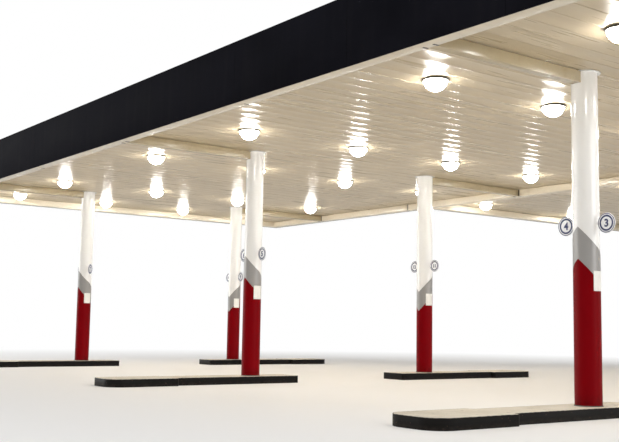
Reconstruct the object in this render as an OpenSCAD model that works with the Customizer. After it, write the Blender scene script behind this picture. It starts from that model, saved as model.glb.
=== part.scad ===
// Filling station canopy: a flat deck of steel pans under a flush-framed roof of beams and purlins,
// inside a tall smooth fascia, on six round columns that stand on narrow kerbed islands.
// A walkway canopy leaves the back edge at the same level. Front is -Y, and the ground is z = 0.

/* [Canopy plan] */
// Distance between neighbouring column lines
bay = 9144; // [7000:1:11000]
// From the outer column lines to the ends of the canopy
end_overhang = 3110; // [2400:1:4200]
// Overall width of the canopy across the column rows
canopy_width = 12590; // [11000:1:14500]
// Distance between the front and the back row of columns
row_spacing = 5315; // [4400:1:6200]
// How far both rows stand forward of the canopy's centre line
row_shift = 160; // [0:1:300]

/* [Levels] */
// Underside of the deck above the ground
deck_level = 5210; // [4400:1:6200]
// Depth of the gutters and edge channels under the deck
gutter_depth = 180; // [120:1:260]
// Height of the fascia, measured over its hem and coping
fascia_height = 1075; // [900:1:1400]
// Height of the islands above the ground
island_height = 160; // [120:1:200]

/* [Columns] */
// Outside diameter of the column pipe
column_d = 400; // [320:1:460]
// Wall of the column pipe
column_wall = 10; // [6:1:16]
// Side of the square base plate
base_size = 600; // [560:1:640]
// Thickness of the base plate
base_t = 25; // [16:1:40]
// Distance between anchor bolt holes
anchor_spacing = 470; // [440:1:500]
// Diameter of the anchor bolt holes
anchor_hole_d = 34; // [22:1:40]
// Thickness of the cap plate under the main beam
cap_t = 20; // [12:1:30]
// Wall of the painted wraps
wrap_t = 3; // [2:0.5:5]
// Highest point of the red wrap, on the side that faces the street
red_peak = 2340; // [1900:1:2700]
// Height of the grey band above the red wrap
grey_band = 485; // [250:1:700]
// Fall of the slanted wrap edges from the street side to the lane side
wrap_fall = 620; // [200:1:900]
// Outside diameter of the trim ring where a column meets the deck
collar_d = 500; // [480:1:600]
// Thickness of the trim ring
collar_t = 6; // [3:0.5:12]

/* [Number discs] */
// Diameter of a number disc
disc_d = 305; // [200:1:400]
// Thickness of a number disc
disc_t = 14; // [8:1:25]
// Height of the disc centres
disc_level = 2870; // [2400:1:3200]
// Gap between a disc's rim and the column
disc_gap = 18; // [10:1:60]

/* [Islands] */
// Width of the long part of an island
island_width = 760; // [700:1:900]
// Width of the rounded outer end
bulb_width = 1010; // [920:1:1200]
// Length of the rounded outer end
bulb_length = 1550; // [1000:1:1800]
// Corner radius of the outer end
bulb_radius = 330; // [120:1:400]
// Corner radius of the inner end
island_corner = 60; // [20:1:150]
// From a column's axis to the outer tip of its island
island_outer = 3620; // [3000:1:4000]
// From a column's axis to the inner end of its island
island_inner = 1070; // [700:1:1400]
// Thickness of the steel kerb form
kerb_t = 10; // [6:1:20]

/* [Deck] */
// Cover width of one deck pan, to which a whole number is fitted
pan_cover = 371; // [300:1:450]
// Height of the ribs above the deck
rib_height = 75; // [50:1:100]
// Width of a rib, two pan legs together
rib_width = 16; // [12:1:30]
// Thickness of the pan sheet
pan_t = 3; // [2:0.5:5]
// Width of the joint line under a rib
joint_width = 8; // [4:1:10]
// Depth of the joint line under a rib
joint_depth = 14; // [6:1:30]
// How far the pans reach over the gutter
pan_lap = 110; // [60:1:140]

/* [Gutters] */
// Width of the gutters and edge channels
gutter_width = 260; // [200:1:340]
// Thickness of the gutter sheet
gutter_t = 4; // [3:0.5:6]
// Width of the drain troughs from column to gutter
trough_width = 160; // [120:1:380]

/* [Fascia] */
// Thickness of the fascia panels
panel_t = 5; // [3:0.5:8]
// Width of the coping on top of the fascia
coping_width = 120; // [90:1:180]
// Down-turned edge of the coping
coping_lip = 30; // [15:1:60]
// Width of the hem under the gutter
hem_width = 25; // [15:1:40]
// Leg of the steel angles behind the fascia
angle_leg = 50; // [40:1:75]
// Thickness of those angles
angle_t = 5; // [4:0.5:8]
// Greatest distance between the upright angles
stud_pitch = 1500; // [1000:1:2200]

/* [Steelwork] */
// Depth of the main beams
beam_depth = 457; // [380:1:540]
// Flange width of the main beams
beam_flange = 191; // [150:1:260]
// Flange thickness of the main beams
beam_flange_t = 15; // [10:1:22]
// Web thickness of the main beams
beam_web_t = 9; // [7:1:14]
// Depth of the purlins
purlin_depth = 305; // [250:1:350]
// Flange width of the purlins
purlin_flange = 124; // [100:1:165]
// Flange thickness of the purlins
purlin_flange_t = 10; // [8:1:15]
// Web thickness of the purlins
purlin_web_t = 7; // [5:1:10]
// From the edge of the canopy to the edge purlins
purlin_inset = 400; // [370:1:600]
// Length of the clip plates that join purlins to beams
clip_length = 210; // [170:1:300]
// Thickness of the clip plates
clip_t = 10; // [8:1:16]

/* [Luminaires] */
// From the middle column line to the lamps beside it
lamp_mid_x = 2006; // [1500:1:2600]
// From an outer column line to the lamps beside it
lamp_end_x = 1735; // [1200:1:2200]
// From the centre line to the inner lamps
lamp_inner_y = 1428; // [1000:1:1900]
// From the centre line to the outer lamps
lamp_outer_y = 4300; // [3800:1:4900]
// Diameter of the bezel under the deck
bezel_d = 430; // [340:1:500]
// Height of the bezel
bezel_h = 25; // [12:1:50]
// Diameter of the glass bowl
bowl_d = 392; // [300:1:420]
// Drop of the glass bowl under the bezel
bowl_drop = 165; // [80:1:220]
// Diameter of the lamp can that passes through the deck
can_d = 320; // [220:1:340]
// Height of the lamp can above the deck
can_h = 190; // [100:1:260]

/* [Walkway canopy] */
// Width of the walkway canopy
link_width = 7652; // [6000:1:9000]
// How far it runs past the back edge of the main canopy
link_length = 9900; // [7500:1:12000]
// Distance between its two columns
link_column_gap = 6540; // [5000:1:7000]
// From its far end back to its columns
link_tail = 2800; // [1600:1:3000]
// From its centre line to its lamps
link_lamp_half = 2720; // [1500:1:2860]
// From the back edge of the main canopy to its first lamps
link_lamp_first = 1400; // [800:1:2000]
// Distance between its lamps along the walkway
link_lamp_pitch = 4300; // [4000:1:4700]

/* [Fits] */
// Clearance round a pipe that passes through a plate or wrap
round_gap = 0.3; // [0.1:0.1:1]
// Room between a base plate and the sides of its pocket in the concrete
pocket_gap = 10; // [5:1:30]
// Height of the pocket above the base plate, for the anchor nuts
pocket_rise = 75; // [40:1:100]
// Gap above and below a purlin's clip plate
clip_gap = 5; // [3:1:15]

/* [Hidden] */
round_fn = 96;
cut = 1;

length = 2 * (bay + end_overhang);
half_x = length / 2;
half_y = canopy_width / 2;
line_x = [-bay, 0, bay];
front_row_y = -row_shift - row_spacing / 2;
back_row_y = -row_shift + row_spacing / 2;
link_half = link_width / 2;
link_end_y = half_y + link_length;
link_column_y = link_end_y - link_tail;

// The frame's origin is the middle of the whole plan, at ground level
plan_front_y = min(-half_y, front_row_y - island_outer);
plan_mid_y = (plan_front_y + link_end_y) / 2;

column_r = column_d / 2;
gutter_bottom = deck_level - gutter_depth;
fascia_bottom = gutter_bottom - panel_t;
fascia_top = fascia_bottom + fascia_height;
steel_level = deck_level + rib_height;
column_top = steel_level - cap_t;
wrap_r = column_r + round_gap + wrap_t;
wrap_mid_r = wrap_r - wrap_t / 2;
clear_hole_d = column_d + 2 * round_gap;
frame_in = panel_t + angle_leg;

purlin_y = half_y - purlin_inset;
link_purlin_y = [for (i = [1:3]) purlin_y + i * link_length / 3];
pan_count = round(length / pan_cover);
pan_pitch = length / pan_count;
deck_split = pan_pitch * floor(pan_count / 3);
deck_edge_x = half_x - frame_in;
link_deck_x = link_half - frame_in;
deck_end_y = half_y - panel_t - gutter_width + pan_lap;
link_deck_start = half_y - panel_t - gutter_t;

lamp_x = [-bay - lamp_end_x, -bay + lamp_end_x, -lamp_mid_x, lamp_mid_x, bay - lamp_end_x, bay + lamp_end_x];
lamp_y = [-lamp_outer_y, -lamp_inner_y, lamp_inner_y, lamp_outer_y];
link_lamp_x = [-link_lamp_half, link_lamp_half];
link_lamp_y = [for (i = [0:1]) half_y + link_lamp_first + i * link_lamp_pitch];
main_lamps = [for (x = lamp_x, y = lamp_y) [x, y]];
link_lamps = [for (x = link_lamp_x, y = link_lamp_y) [x, y]];
main_columns = [for (x = line_x, y = [front_row_y, back_row_y]) [x, y]];
link_columns = [for (s = [-1, 1]) [s * link_column_gap / 2, link_column_y]];

// Moves the plan so that its middle lies on the origin
module placed() {
    translate([0, -plan_mid_y, 0]) children();
}

// Repeats its children at each column of a list
module at(points, z = 0) {
    for (p = points) translate([p[0], p[1], z]) children();
}

// Repeats its children on the islands' columns, turned so that -Y faces the street
module at_islands(z = 0) {
    for (x = line_x) {
        translate([x, front_row_y, z]) children();
        translate([x, back_row_y, z]) rotate(180) children();
    }
}

module pipe(outer_r, inner_r, height) {
    difference() {
        cylinder(r = outer_r, h = height, $fn = round_fn);
        translate([0, 0, -cut]) cylinder(r = inner_r, h = height + 2 * cut, $fn = round_fn);
    }
}

// A straight run along +X with its outer face on y = 0. Each end is cut at 45 degrees:
// -1 for an outer corner, 1 for an inner corner, 0 for a square end.
module run(run_length, start = 0, end = 0) {
    depth = coping_width + gutter_width;
    intersection() {
        rotate([90, 0, 90]) translate([0, 0, -depth]) linear_extrude(height = run_length + 2 * depth) children();
        translate([0, 0, fascia_bottom - cut]) linear_extrude(height = fascia_height + 2 * cut)
            polygon([[0, 0], [run_length, 0], [run_length + end * depth, depth], [-start * depth, depth]]);
    }
}

// Puts a run on one side of the main canopy or the walkway canopy
module side(name) {
    if (name == "front") translate([-half_x, -half_y, 0]) children();
    if (name == "right") translate([half_x, -half_y, 0]) rotate(90) children();
    if (name == "back") translate([half_x, half_y, 0]) rotate(180) children();
    if (name == "left") translate([-half_x, half_y, 0]) rotate(-90) children();
    if (name == "back_left") translate([-link_half, half_y, 0]) rotate(180) children();
    if (name == "link_right") translate([link_half, half_y, 0]) rotate(90) children();
    if (name == "link_end") translate([link_half, link_end_y, 0]) rotate(180) children();
    if (name == "link_left") translate([-link_half, link_end_y, 0]) rotate(-90) children();
}

// Section of a fascia panel with its hem and coping, y inwards
module fascia_section() {
    polygon([
        [0, fascia_bottom], [hem_width, fascia_bottom], [hem_width, gutter_bottom], [panel_t, gutter_bottom],
        [panel_t, fascia_top - panel_t], [coping_width - panel_t, fascia_top - panel_t],
        [coping_width - panel_t, fascia_top - coping_lip], [coping_width, fascia_top - coping_lip],
        [coping_width, fascia_top], [0, fascia_top]
    ]);
}

// Section of a gutter or edge channel, open at the top
module channel_section() {
    outer = panel_t;
    inner = panel_t + gutter_width;
    polygon([
        [outer, gutter_bottom], [inner, gutter_bottom], [inner, deck_level], [inner - gutter_t, deck_level],
        [inner - gutter_t, gutter_bottom + gutter_t], [outer + gutter_t, gutter_bottom + gutter_t],
        [outer + gutter_t, deck_level], [outer, deck_level]
    ]);
}

module trough_section() {
    difference() {
        translate([-trough_width / 2, 0]) square([trough_width, gutter_depth]);
        translate([-trough_width / 2 + gutter_t, gutter_t])
            square([trough_width - 2 * gutter_t, gutter_depth]);
    }
}

module i_section(depth, flange, flange_t, web_t) {
    for (z = [0, depth - flange_t]) translate([-flange / 2, z]) square([flange, flange_t]);
    translate([-web_t / 2, 0]) square([web_t, depth]);
}

// A purlin along X with its underside on the deck's ribs
module purlin(x0, x1, y) {
    translate([x0, y, steel_level]) rotate([90, 0, 90]) linear_extrude(height = x1 - x0)
        i_section(purlin_depth, purlin_flange, purlin_flange_t, purlin_web_t);
}

// A beam along Y with its underside on the deck's ribs
module beam(x, y0, y1) {
    translate([x, y1, steel_level]) rotate([90, 0, 0]) linear_extrude(height = y1 - y0)
        i_section(beam_depth, beam_flange, beam_flange_t, beam_web_t);
}

// One line of purlins, in four lengths between the main beams
module purlin_line(y) {
    ends = [-half_x + frame_in, for (x = line_x, s = [-1, 1]) x + s * beam_flange / 2, half_x - frame_in];
    for (i = [0:2:len(ends) - 2]) purlin(ends[i], ends[i + 1], y);
}

// Plate from a beam's web past its flange to a purlin's web
module clip_plate(x, y, s) {
    z = steel_level + max(beam_flange_t, purlin_flange_t) + clip_gap;
    h = purlin_depth - purlin_flange_t - max(beam_flange_t, purlin_flange_t) - 2 * clip_gap;
    x0 = x + s * beam_web_t / 2;
    translate([min(x0, x0 + s * clip_length), y + purlin_web_t / 2, z]) cube([clip_length, clip_t, h]);
}

module clip_line(xs, y) {
    for (x = xs, s = [-1, 1]) clip_plate(x, y, s);
}

// Deck pans side by side: a flat sheet with a standing rib and a fine joint line at each seam
module pan_section(x0, x1) {
    first = ceil((x0 + half_x + rib_width) / pan_pitch);
    last = floor((x1 + half_x - rib_width) / pan_pitch);
    difference() {
        union() {
            translate([x0, 0]) square([x1 - x0, pan_t]);
            for (x = [x0, x1 - rib_width / 2]) translate([x, 0]) square([rib_width / 2, rib_height]);
            for (i = [first:last])
                translate([-half_x + i * pan_pitch - rib_width / 2, 0]) square([rib_width, rib_height]);
        }
        for (i = [first:last])
            translate([-half_x + i * pan_pitch - joint_width / 2, -cut]) square([joint_width, joint_depth + cut]);
    }
}

module pan_deck(x0, x1, y0, y1, lamps) {
    difference() {
        translate([0, y1, deck_level]) rotate([90, 0, 0]) linear_extrude(height = y1 - y0) pan_section(x0, x1);
        at([for (p = lamps) if (p[0] > x0 && p[0] < x1) p], deck_level - cut)
            cylinder(d = can_d + 2 * round_gap, h = rib_height + 2 * cut, $fn = round_fn);
        at([for (p = concat(main_columns, link_columns)) if (p[0] > x0 && p[0] < x1) p], deck_level - cut)
            cylinder(d = clear_hole_d, h = rib_height + 2 * cut, $fn = round_fn);
    }
}

// Block under two slanted edges that meet in a peak on -Y and in a low point on +Y.
// Each quarter is one plane, so that the edge falls evenly round a pipe of radius r.
module peaked_block(r, peak) {
    reach = 2 * r;
    for (i = [0:3]) {
        side_sign = i < 2 ? 1 : -1;
        mid = peak - wrap_fall * (i % 2 == 0 ? 0.25 : 0.75);
        turn = i % 2 == 0 ? -90 : 0;
        slope = wrap_fall / 4 * sqrt(2) / r;
        mirror([side_sign > 0 ? 0 : 1, 0, 0]) intersection() {
            rotate(turn) cube([reach, reach, 2 * peak]);
            rotate(turn + 45) rotate([90, 0, 90]) linear_extrude(height = reach) polygon([
                [-reach, 0], [reach, 0], [reach, mid - slope * reach], [-reach, mid + slope * reach]
            ]);
        }
    }
}

module rounded_rect(x0, x1, y0, y1, r_low, r_high) {
    translate([x0 + r_low, y0]) square([x1 - x0 - 2 * r_low, y1 - y0 - r_high]);
    translate([x0, y0 + r_low]) square([x1 - x0, y1 - y0 - r_low - r_high]);
    translate([x0 + r_high, y0 + r_low]) square([x1 - x0 - 2 * r_high, y1 - y0 - r_low]);
    for (s = [-1, 1]) {
        mid = (x0 + x1) / 2;
        half = (x1 - x0) / 2;
        translate([mid + s * (half - r_low), y0 + r_low]) circle(r = r_low, $fn = round_fn);
        translate([mid + s * (half - r_high), y1 - r_high]) circle(r = r_high, $fn = round_fn);
    }
}

// Island outline round a column on the origin, with the rounded end towards -Y
module island_outline(inset) {
    bulb = bulb_width / 2 - inset;
    half = island_width / 2 - inset;
    tip = -island_outer + inset;
    rounded_rect(-bulb, bulb, tip, -island_outer + bulb_length - inset, bulb_radius - inset, island_corner - inset);
    rounded_rect(-half, half, tip + bulb_radius, island_inner - inset, island_corner - inset, island_corner - inset);
}

// Upright angles, top and bottom rails behind one run of fascia
module fascia_frame(run_length, start, end) {
    run(run_length, start, end) {
        translate([panel_t, fascia_top - panel_t - angle_leg]) square([angle_t, angle_leg]);
        translate([panel_t, fascia_top - panel_t - angle_t]) square([angle_leg, angle_t]);
        translate([panel_t, deck_level]) square([angle_t, angle_leg]);
        translate([frame_in - angle_t, steel_level + purlin_depth - angle_leg]) square([angle_t, angle_leg]);
    }
    studs = ceil(run_length / stud_pitch);
    for (i = [1:studs - 1]) translate([i * run_length / studs, panel_t, deck_level]) {
        translate([-angle_t / 2, 0, 0]) cube([angle_t, angle_leg, fascia_top - panel_t - deck_level]);
        translate([-angle_t / 2, 0, 0]) cube([angle_leg, angle_t, fascia_top - panel_t - deck_level]);
    }
}

// Arms from the edge purlins to the upright angles of a long side
module fascia_arms(run_length) {
    studs = ceil(run_length / stud_pitch);
    arm = purlin_inset - panel_t + purlin_flange / 2;
    for (i = [1:studs - 1]) translate([i * run_length / studs, panel_t, steel_level + purlin_depth]) {
        translate([-angle_t / 2, 0, 0]) cube([angle_t, arm, angle_leg]);
        translate([-angle_t / 2, 0, 0]) cube([angle_leg, arm, angle_t]);
    }
}

module base_plates() {
    color("dimgray") placed() at(concat(main_columns, link_columns)) difference() {
        translate([-base_size / 2, -base_size / 2, 0]) cube([base_size, base_size, base_t]);
        for (x = [-1, 1], y = [-1, 1])
            translate([x * anchor_spacing / 2, y * anchor_spacing / 2, -cut])
                cylinder(d = anchor_hole_d, h = base_t + 2 * cut, $fn = 32);
    }
}

module columns() {
    color("white") placed() at(concat(main_columns, link_columns), base_t)
        pipe(column_r, column_r - column_wall, column_top - base_t);
}

module cap_plates() {
    color("dimgray") placed() at(concat(main_columns, link_columns), column_top)
        cylinder(d = column_d, h = cap_t, $fn = round_fn);
}

module wrap_tube() {
    translate([0, 0, base_t]) pipe(wrap_r, column_r + round_gap, red_peak + grey_band);
}

module red_wraps() {
    color("darkred") placed() at_islands() intersection() {
        wrap_tube();
        peaked_block(wrap_mid_r, red_peak);
    }
}

module grey_wraps() {
    color("gray") placed() at_islands() difference() {
        intersection() {
            wrap_tube();
            peaked_block(wrap_mid_r, red_peak + grey_band);
        }
        peaked_block(wrap_mid_r, red_peak);
    }
}

module deck_collars() {
    color("silver") placed() at(concat(main_columns, link_columns), deck_level - collar_t)
        pipe(collar_d / 2, column_r + round_gap, collar_t);
}

// Round plates that face the street, one on each side of a column, on short arms
module number_discs() {
    arm_reach = column_r - wrap_t;
    arm_h = 40;
    arm_t = 8;
    disc_x = column_r + disc_gap + disc_d / 2;
    color("white") placed() at_islands(disc_level) for (s = [-1, 1]) {
        difference() {
            union() {
                translate([s * disc_x, disc_t / 2, 0]) rotate([90, 0, 0])
                    cylinder(d = disc_d, h = disc_t, $fn = round_fn);
                translate([s > 0 ? arm_reach : -disc_x, 0, -arm_h / 2])
                    cube([disc_x - arm_reach, disc_t / 2 + arm_t, arm_h]);
            }
            translate([0, 0, -disc_d]) cylinder(r = column_r + round_gap, h = 2 * disc_d, $fn = round_fn);
        }
    }
}

module island_kerbs() {
    color([0.12, 0.12, 0.12]) placed() at_islands() linear_extrude(height = island_height) difference() {
        island_outline(0);
        island_outline(kerb_t);
    }
}

// Concrete inside the kerb, with the column's opening and the pocket over its base plate
module island_tops() {
    pocket = base_size + 2 * pocket_gap;
    pocket_h = base_t + pocket_rise;
    color([0.85, 0.82, 0.75]) placed() at_islands() difference() {
        linear_extrude(height = island_height) island_outline(kerb_t);
        translate([-pocket / 2, -pocket / 2, -cut]) cube([pocket, pocket, pocket_h + cut]);
        cylinder(r = wrap_r + round_gap, h = island_height + cut, $fn = round_fn);
    }
}

module main_beam(x) {
    color("lightgray") placed() beam(x, -half_y + frame_in, half_y - frame_in);
}
module left_main_beam() { main_beam(line_x[0]); }
module middle_main_beam() { main_beam(line_x[1]); }
module right_main_beam() { main_beam(line_x[2]); }

module purlins_at(y) {
    color("lightgray") placed() purlin_line(y);
}
module front_edge_purlins() { purlins_at(-purlin_y); }
module front_purlins() { purlins_at(-purlin_y / 2); }
module centre_purlins() { purlins_at(0); }
module back_purlins() { purlins_at(purlin_y / 2); }
module back_edge_purlins() { purlins_at(purlin_y); }

module purlin_clips() {
    link_beam_x = [-link_column_gap / 2, link_column_gap / 2];
    color("dimgray") placed() {
        for (i = [-2:2]) clip_line(line_x, i * purlin_y / 2);
        for (y = link_purlin_y) clip_line(link_beam_x, y);
        for (x = link_beam_x) translate([x, purlin_y, 0]) rotate(90) mirror([0, 1, 0])
            translate([0, -purlin_web_t / 2 + beam_web_t / 2, 0]) beam_end_clip();
    }
}

// Plate from an edge purlin's web into the end of a beam of the walkway canopy
module beam_end_clip() {
    z = steel_level + max(beam_flange_t, purlin_flange_t) + clip_gap;
    h = purlin_depth - purlin_flange_t - max(beam_flange_t, purlin_flange_t) - 2 * clip_gap;
    translate([purlin_web_t / 2, purlin_web_t / 2, z]) cube([clip_length, clip_t, h]);
}

module main_deck(x0, x1) {
    color([0.85, 0.8, 0.7]) placed() pan_deck(x0, x1, -deck_end_y, deck_end_y, main_lamps);
}
module left_deck() { main_deck(-deck_edge_x, -half_x + deck_split); }
module middle_deck() { main_deck(-half_x + deck_split, half_x - deck_split); }
module right_deck() { main_deck(half_x - deck_split, deck_edge_x); }

module channel(name, run_length, start, end) {
    color([0.88, 0.84, 0.75]) placed() side(name) run(run_length, start, end) channel_section();
}
module front_gutter() { channel("front", length, -1, -1); }
module back_gutter() { channel("back", length, -1, -1); }
module end_channels() {
    for (name = ["left", "right"]) channel(name, canopy_width, -1, -1);
}

// Open troughs under the deck that carry the gutters' water back to the columns
module drain_troughs() {
    gutter_face = half_y - panel_t - gutter_width;
    color([0.88, 0.84, 0.75]) placed() for (x = line_x, y = [front_row_y, back_row_y]) {
        translate([x, y, 0]) rotate(y < 0 ? 0 : 180) difference() {
            translate([0, 0, gutter_bottom]) rotate([90, 0, 0])
                linear_extrude(height = gutter_face - abs(y)) trough_section();
            cylinder(d = clear_hole_d, h = deck_level + cut, $fn = round_fn);
            translate([0, 0, deck_level - collar_t - round_gap])
                cylinder(d = collar_d + 2 * round_gap, h = gutter_depth, $fn = round_fn);
        }
    }
}

module fascia(name, run_length, start, end) {
    color([0.1, 0.1, 0.12]) placed() side(name) run(run_length, start, end) fascia_section();
}
module front_fascia() { fascia("front", length, -1, -1); }
module left_fascia() { fascia("left", canopy_width, -1, -1); }
module right_fascia() { fascia("right", canopy_width, -1, -1); }
module back_left_fascia() { fascia("back_left", half_x - link_half, 1, -1); }
module back_right_fascia() { fascia("back", half_x - link_half, -1, 1); }

module long_frame(name, run_length, start, end) {
    color("gray") placed() side(name) {
        fascia_frame(run_length, start, end);
        fascia_arms(run_length);
    }
}
module end_frame(name, run_length, start, end) {
    color("gray") placed() side(name) fascia_frame(run_length, start, end);
}
module front_fascia_frame() { long_frame("front", length, -1, -1); }
module back_fascia_frames() {
    long_frame("back_left", half_x - link_half, 1, -1);
    long_frame("back", half_x - link_half, -1, 1);
}
module end_fascia_frames() {
    for (name = ["left", "right"]) end_frame(name, canopy_width, -1, -1);
}

// Round housings that stand through the deck, each with a wiring box on top
module lamp_cans() {
    bevel = 15;
    box = 130;
    box_h = 60;
    can_r = can_d / 2;
    color("silver") placed() at(concat(main_lamps, link_lamps), deck_level) {
        rotate_extrude($fn = round_fn)
            polygon([[0, 0], [can_r, 0], [can_r, can_h - bevel], [can_r - bevel, can_h], [0, can_h]]);
        translate([-box / 2, -box / 2, can_h]) cube([box, box, box_h]);
    }
}

// Ring with a flat back under the deck, into which the bowl's rim fits
module lamp_bezels() {
    back_t = 3;
    bezel_r = bezel_d / 2;
    seat_r = bowl_d / 2 + round_gap;
    color("dimgray") placed() at(concat(main_lamps, link_lamps), deck_level - bezel_h)
        rotate_extrude($fn = round_fn) polygon([
            [seat_r, 0], [bezel_r, 0], [bezel_r, bezel_h], [can_d / 4, bezel_h],
            [can_d / 4, bezel_h - back_t], [seat_r, bezel_h - back_t]
        ]);
}

// Glass bowl: a short straight rim over a spherical cap
module lamp_bowls() {
    glass_t = 5;
    back_t = 3;
    rim_r = bowl_d / 2;
    cap_r = (rim_r * rim_r + bowl_drop * bowl_drop) / (2 * bowl_drop);
    color([1, 0.98, 0.92]) placed() at(concat(main_lamps, link_lamps), deck_level - bezel_h) {
        pipe(rim_r, rim_r - glass_t, bezel_h - back_t);
        intersection() {
            translate([0, 0, cap_r - bowl_drop]) difference() {
                sphere(r = cap_r, $fn = round_fn);
                sphere(r = cap_r - glass_t, $fn = round_fn);
            }
            translate([-rim_r, -rim_r, -bowl_drop - cut]) cube([2 * rim_r, 2 * rim_r, bowl_drop + cut]);
        }
    }
}

// Two beams from the back edge purlin to the far end, over the walkway's columns
module link_beams() {
    color("lightgray") placed() for (s = [-1, 1])
        beam(s * link_column_gap / 2, purlin_y + purlin_flange / 2, link_end_y - frame_in);
}

module link_purlins() {
    beam_x = link_column_gap / 2;
    color("lightgray") placed() for (y = link_purlin_y) {
        purlin(-link_deck_x, -beam_x - beam_flange / 2, y);
        purlin(-beam_x + beam_flange / 2, beam_x - beam_flange / 2, y);
        purlin(beam_x + beam_flange / 2, link_deck_x, y);
    }
}

module link_deck() {
    color([0.85, 0.8, 0.7]) placed() pan_deck(-link_deck_x, link_deck_x, link_deck_start,
        link_end_y - panel_t - gutter_width + pan_lap, link_lamps);
}

module link_end_gutter() { channel("link_end", link_width, -1, -1); }
module link_edge_channels() {
    channel("link_left", link_length + panel_t, -1, 0);
    color([0.88, 0.84, 0.75]) placed() side("link_right")
        translate([-panel_t, 0, 0]) run(link_length + panel_t, 0, -1) channel_section();
}
module link_side_fascias() {
    fascia("link_left", link_length, -1, 1);
    fascia("link_right", link_length, 1, -1);
}
module link_end_fascia() { fascia("link_end", link_width, -1, -1); }
module link_side_frames() {
    end_frame("link_left", link_length, -1, 1);
    end_frame("link_right", link_length, 1, -1);
}
module link_end_frame() { long_frame("link_end", link_width, -1, -1); }

base_plates();
columns();
cap_plates();
red_wraps();
grey_wraps();
deck_collars();
number_discs();
island_kerbs();
island_tops();
left_main_beam();
middle_main_beam();
right_main_beam();
front_edge_purlins();
front_purlins();
centre_purlins();
back_purlins();
back_edge_purlins();
purlin_clips();
left_deck();
middle_deck();
right_deck();
front_gutter();
back_gutter();
end_channels();
drain_troughs();
front_fascia();
left_fascia();
right_fascia();
back_left_fascia();
back_right_fascia();
front_fascia_frame();
end_fascia_frames();
back_fascia_frames();
lamp_cans();
lamp_bezels();
lamp_bowls();
link_beams();
link_purlins();
link_deck();
link_end_gutter();
link_edge_channels();
link_side_fascias();
link_end_fascia();
link_side_frames();
link_end_frame();
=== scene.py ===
"""Looks of a filling station canopy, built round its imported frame.

The sheet metal, paint, lamps, signs, bolts and concrete are made and dressed here. Every size is in metres.
"""

import logging
import math
from abc import ABC, abstractmethod
from dataclasses import dataclass
from enum import Enum
from functools import cache
from typing import Iterable, NamedTuple, Sequence

import bmesh
import bpy
from mathutils import Matrix, Vector


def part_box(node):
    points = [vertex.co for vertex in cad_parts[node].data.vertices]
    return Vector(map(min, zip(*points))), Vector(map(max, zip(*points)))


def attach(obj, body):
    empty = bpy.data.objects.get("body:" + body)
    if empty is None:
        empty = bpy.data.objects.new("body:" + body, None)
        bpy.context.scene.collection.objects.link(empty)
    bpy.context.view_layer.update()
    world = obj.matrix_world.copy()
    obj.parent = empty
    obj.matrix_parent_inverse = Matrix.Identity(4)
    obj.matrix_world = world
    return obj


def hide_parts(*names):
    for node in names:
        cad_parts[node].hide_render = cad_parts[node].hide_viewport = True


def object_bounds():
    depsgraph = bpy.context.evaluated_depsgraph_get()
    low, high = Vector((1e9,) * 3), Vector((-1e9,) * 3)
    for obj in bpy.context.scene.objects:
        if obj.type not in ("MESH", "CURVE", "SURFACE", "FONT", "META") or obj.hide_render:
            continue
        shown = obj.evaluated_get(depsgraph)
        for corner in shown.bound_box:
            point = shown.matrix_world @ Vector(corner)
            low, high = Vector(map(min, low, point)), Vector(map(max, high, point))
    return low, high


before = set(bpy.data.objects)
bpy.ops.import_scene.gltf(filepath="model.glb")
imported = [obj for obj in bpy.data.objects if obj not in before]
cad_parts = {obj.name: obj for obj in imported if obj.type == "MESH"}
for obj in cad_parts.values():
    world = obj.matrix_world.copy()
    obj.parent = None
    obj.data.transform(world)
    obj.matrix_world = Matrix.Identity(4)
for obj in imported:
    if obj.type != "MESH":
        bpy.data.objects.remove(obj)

LOG = logging.getLogger("canopy")
CAD_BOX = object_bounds()

Colour = tuple[float, float, float, float]
Point = tuple[float, float, float]
Profile = Sequence[tuple[float, float]]
Spot = tuple[Sequence[float], Sequence[float]]
Material = bpy.types.Material
Node = bpy.types.Node
Socket = bpy.types.NodeSocket
Thing = bpy.types.Object

UP: Point = (0, 0, 1)
DOWN: Point = (0, 0, -1)
DIAGONALS = [math.pi / 4 + k * math.pi / 2 for k in range(4)]
WHITE: Colour = (1.0, 1.0, 1.0, 1.0)

# A box that starts before this place along Y belongs to the front row of columns.
ROW_LINE = -5.0

# Points closer than this are one: first in the frame, then in what a bevel, a cut or a font leaves.
POINT_GAP, FINE_GAP = 1e-5, 1e-6

# Edges flatter than the first angle are taken out, and edges sharper than the second are rounded.
FLAT_ANGLE, HARD_ANGLE = math.radians(0.5), math.radians(40)


class Axis(Enum):
    """The three directions of the frame."""

    X = 0
    Y = 1
    Z = 2


class Side(Enum):
    """The two rows of columns, each with the way along Y that it faces outwards."""

    FRONT = -1
    BACK = 1


class Block(NamedTuple):
    """The box round a solid or a node of the frame."""

    low: Vector
    high: Vector

    @property
    def centre(self) -> Vector:
        """Its middle."""
        return (self.low + self.high) / 2

    @property
    def radius(self) -> float:
        """Half of its length along X, which is the radius of a round piece."""
        return (self.high.x - self.low.x) / 2

    @property
    def side(self) -> Side:
        """The row of columns that it belongs to."""
        return Side.FRONT if self.low.y < ROW_LINE else Side.BACK

    def spans(self, place: Vector) -> bool:
        """Whether a place lies inside it as seen from above."""
        return self.low.x < place.x < self.high.x and self.low.y < place.y < self.high.y


def box_of(node: str) -> Block:
    """The box round a node of the frame."""
    return Block(*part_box(node))


# The deck pans divide the length of the roof evenly.
PAN_COUNT = 66
ROOF = box_of("front_fascia")
PAN_PITCH = (ROOF.high.x - ROOF.low.x) / PAN_COUNT


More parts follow.
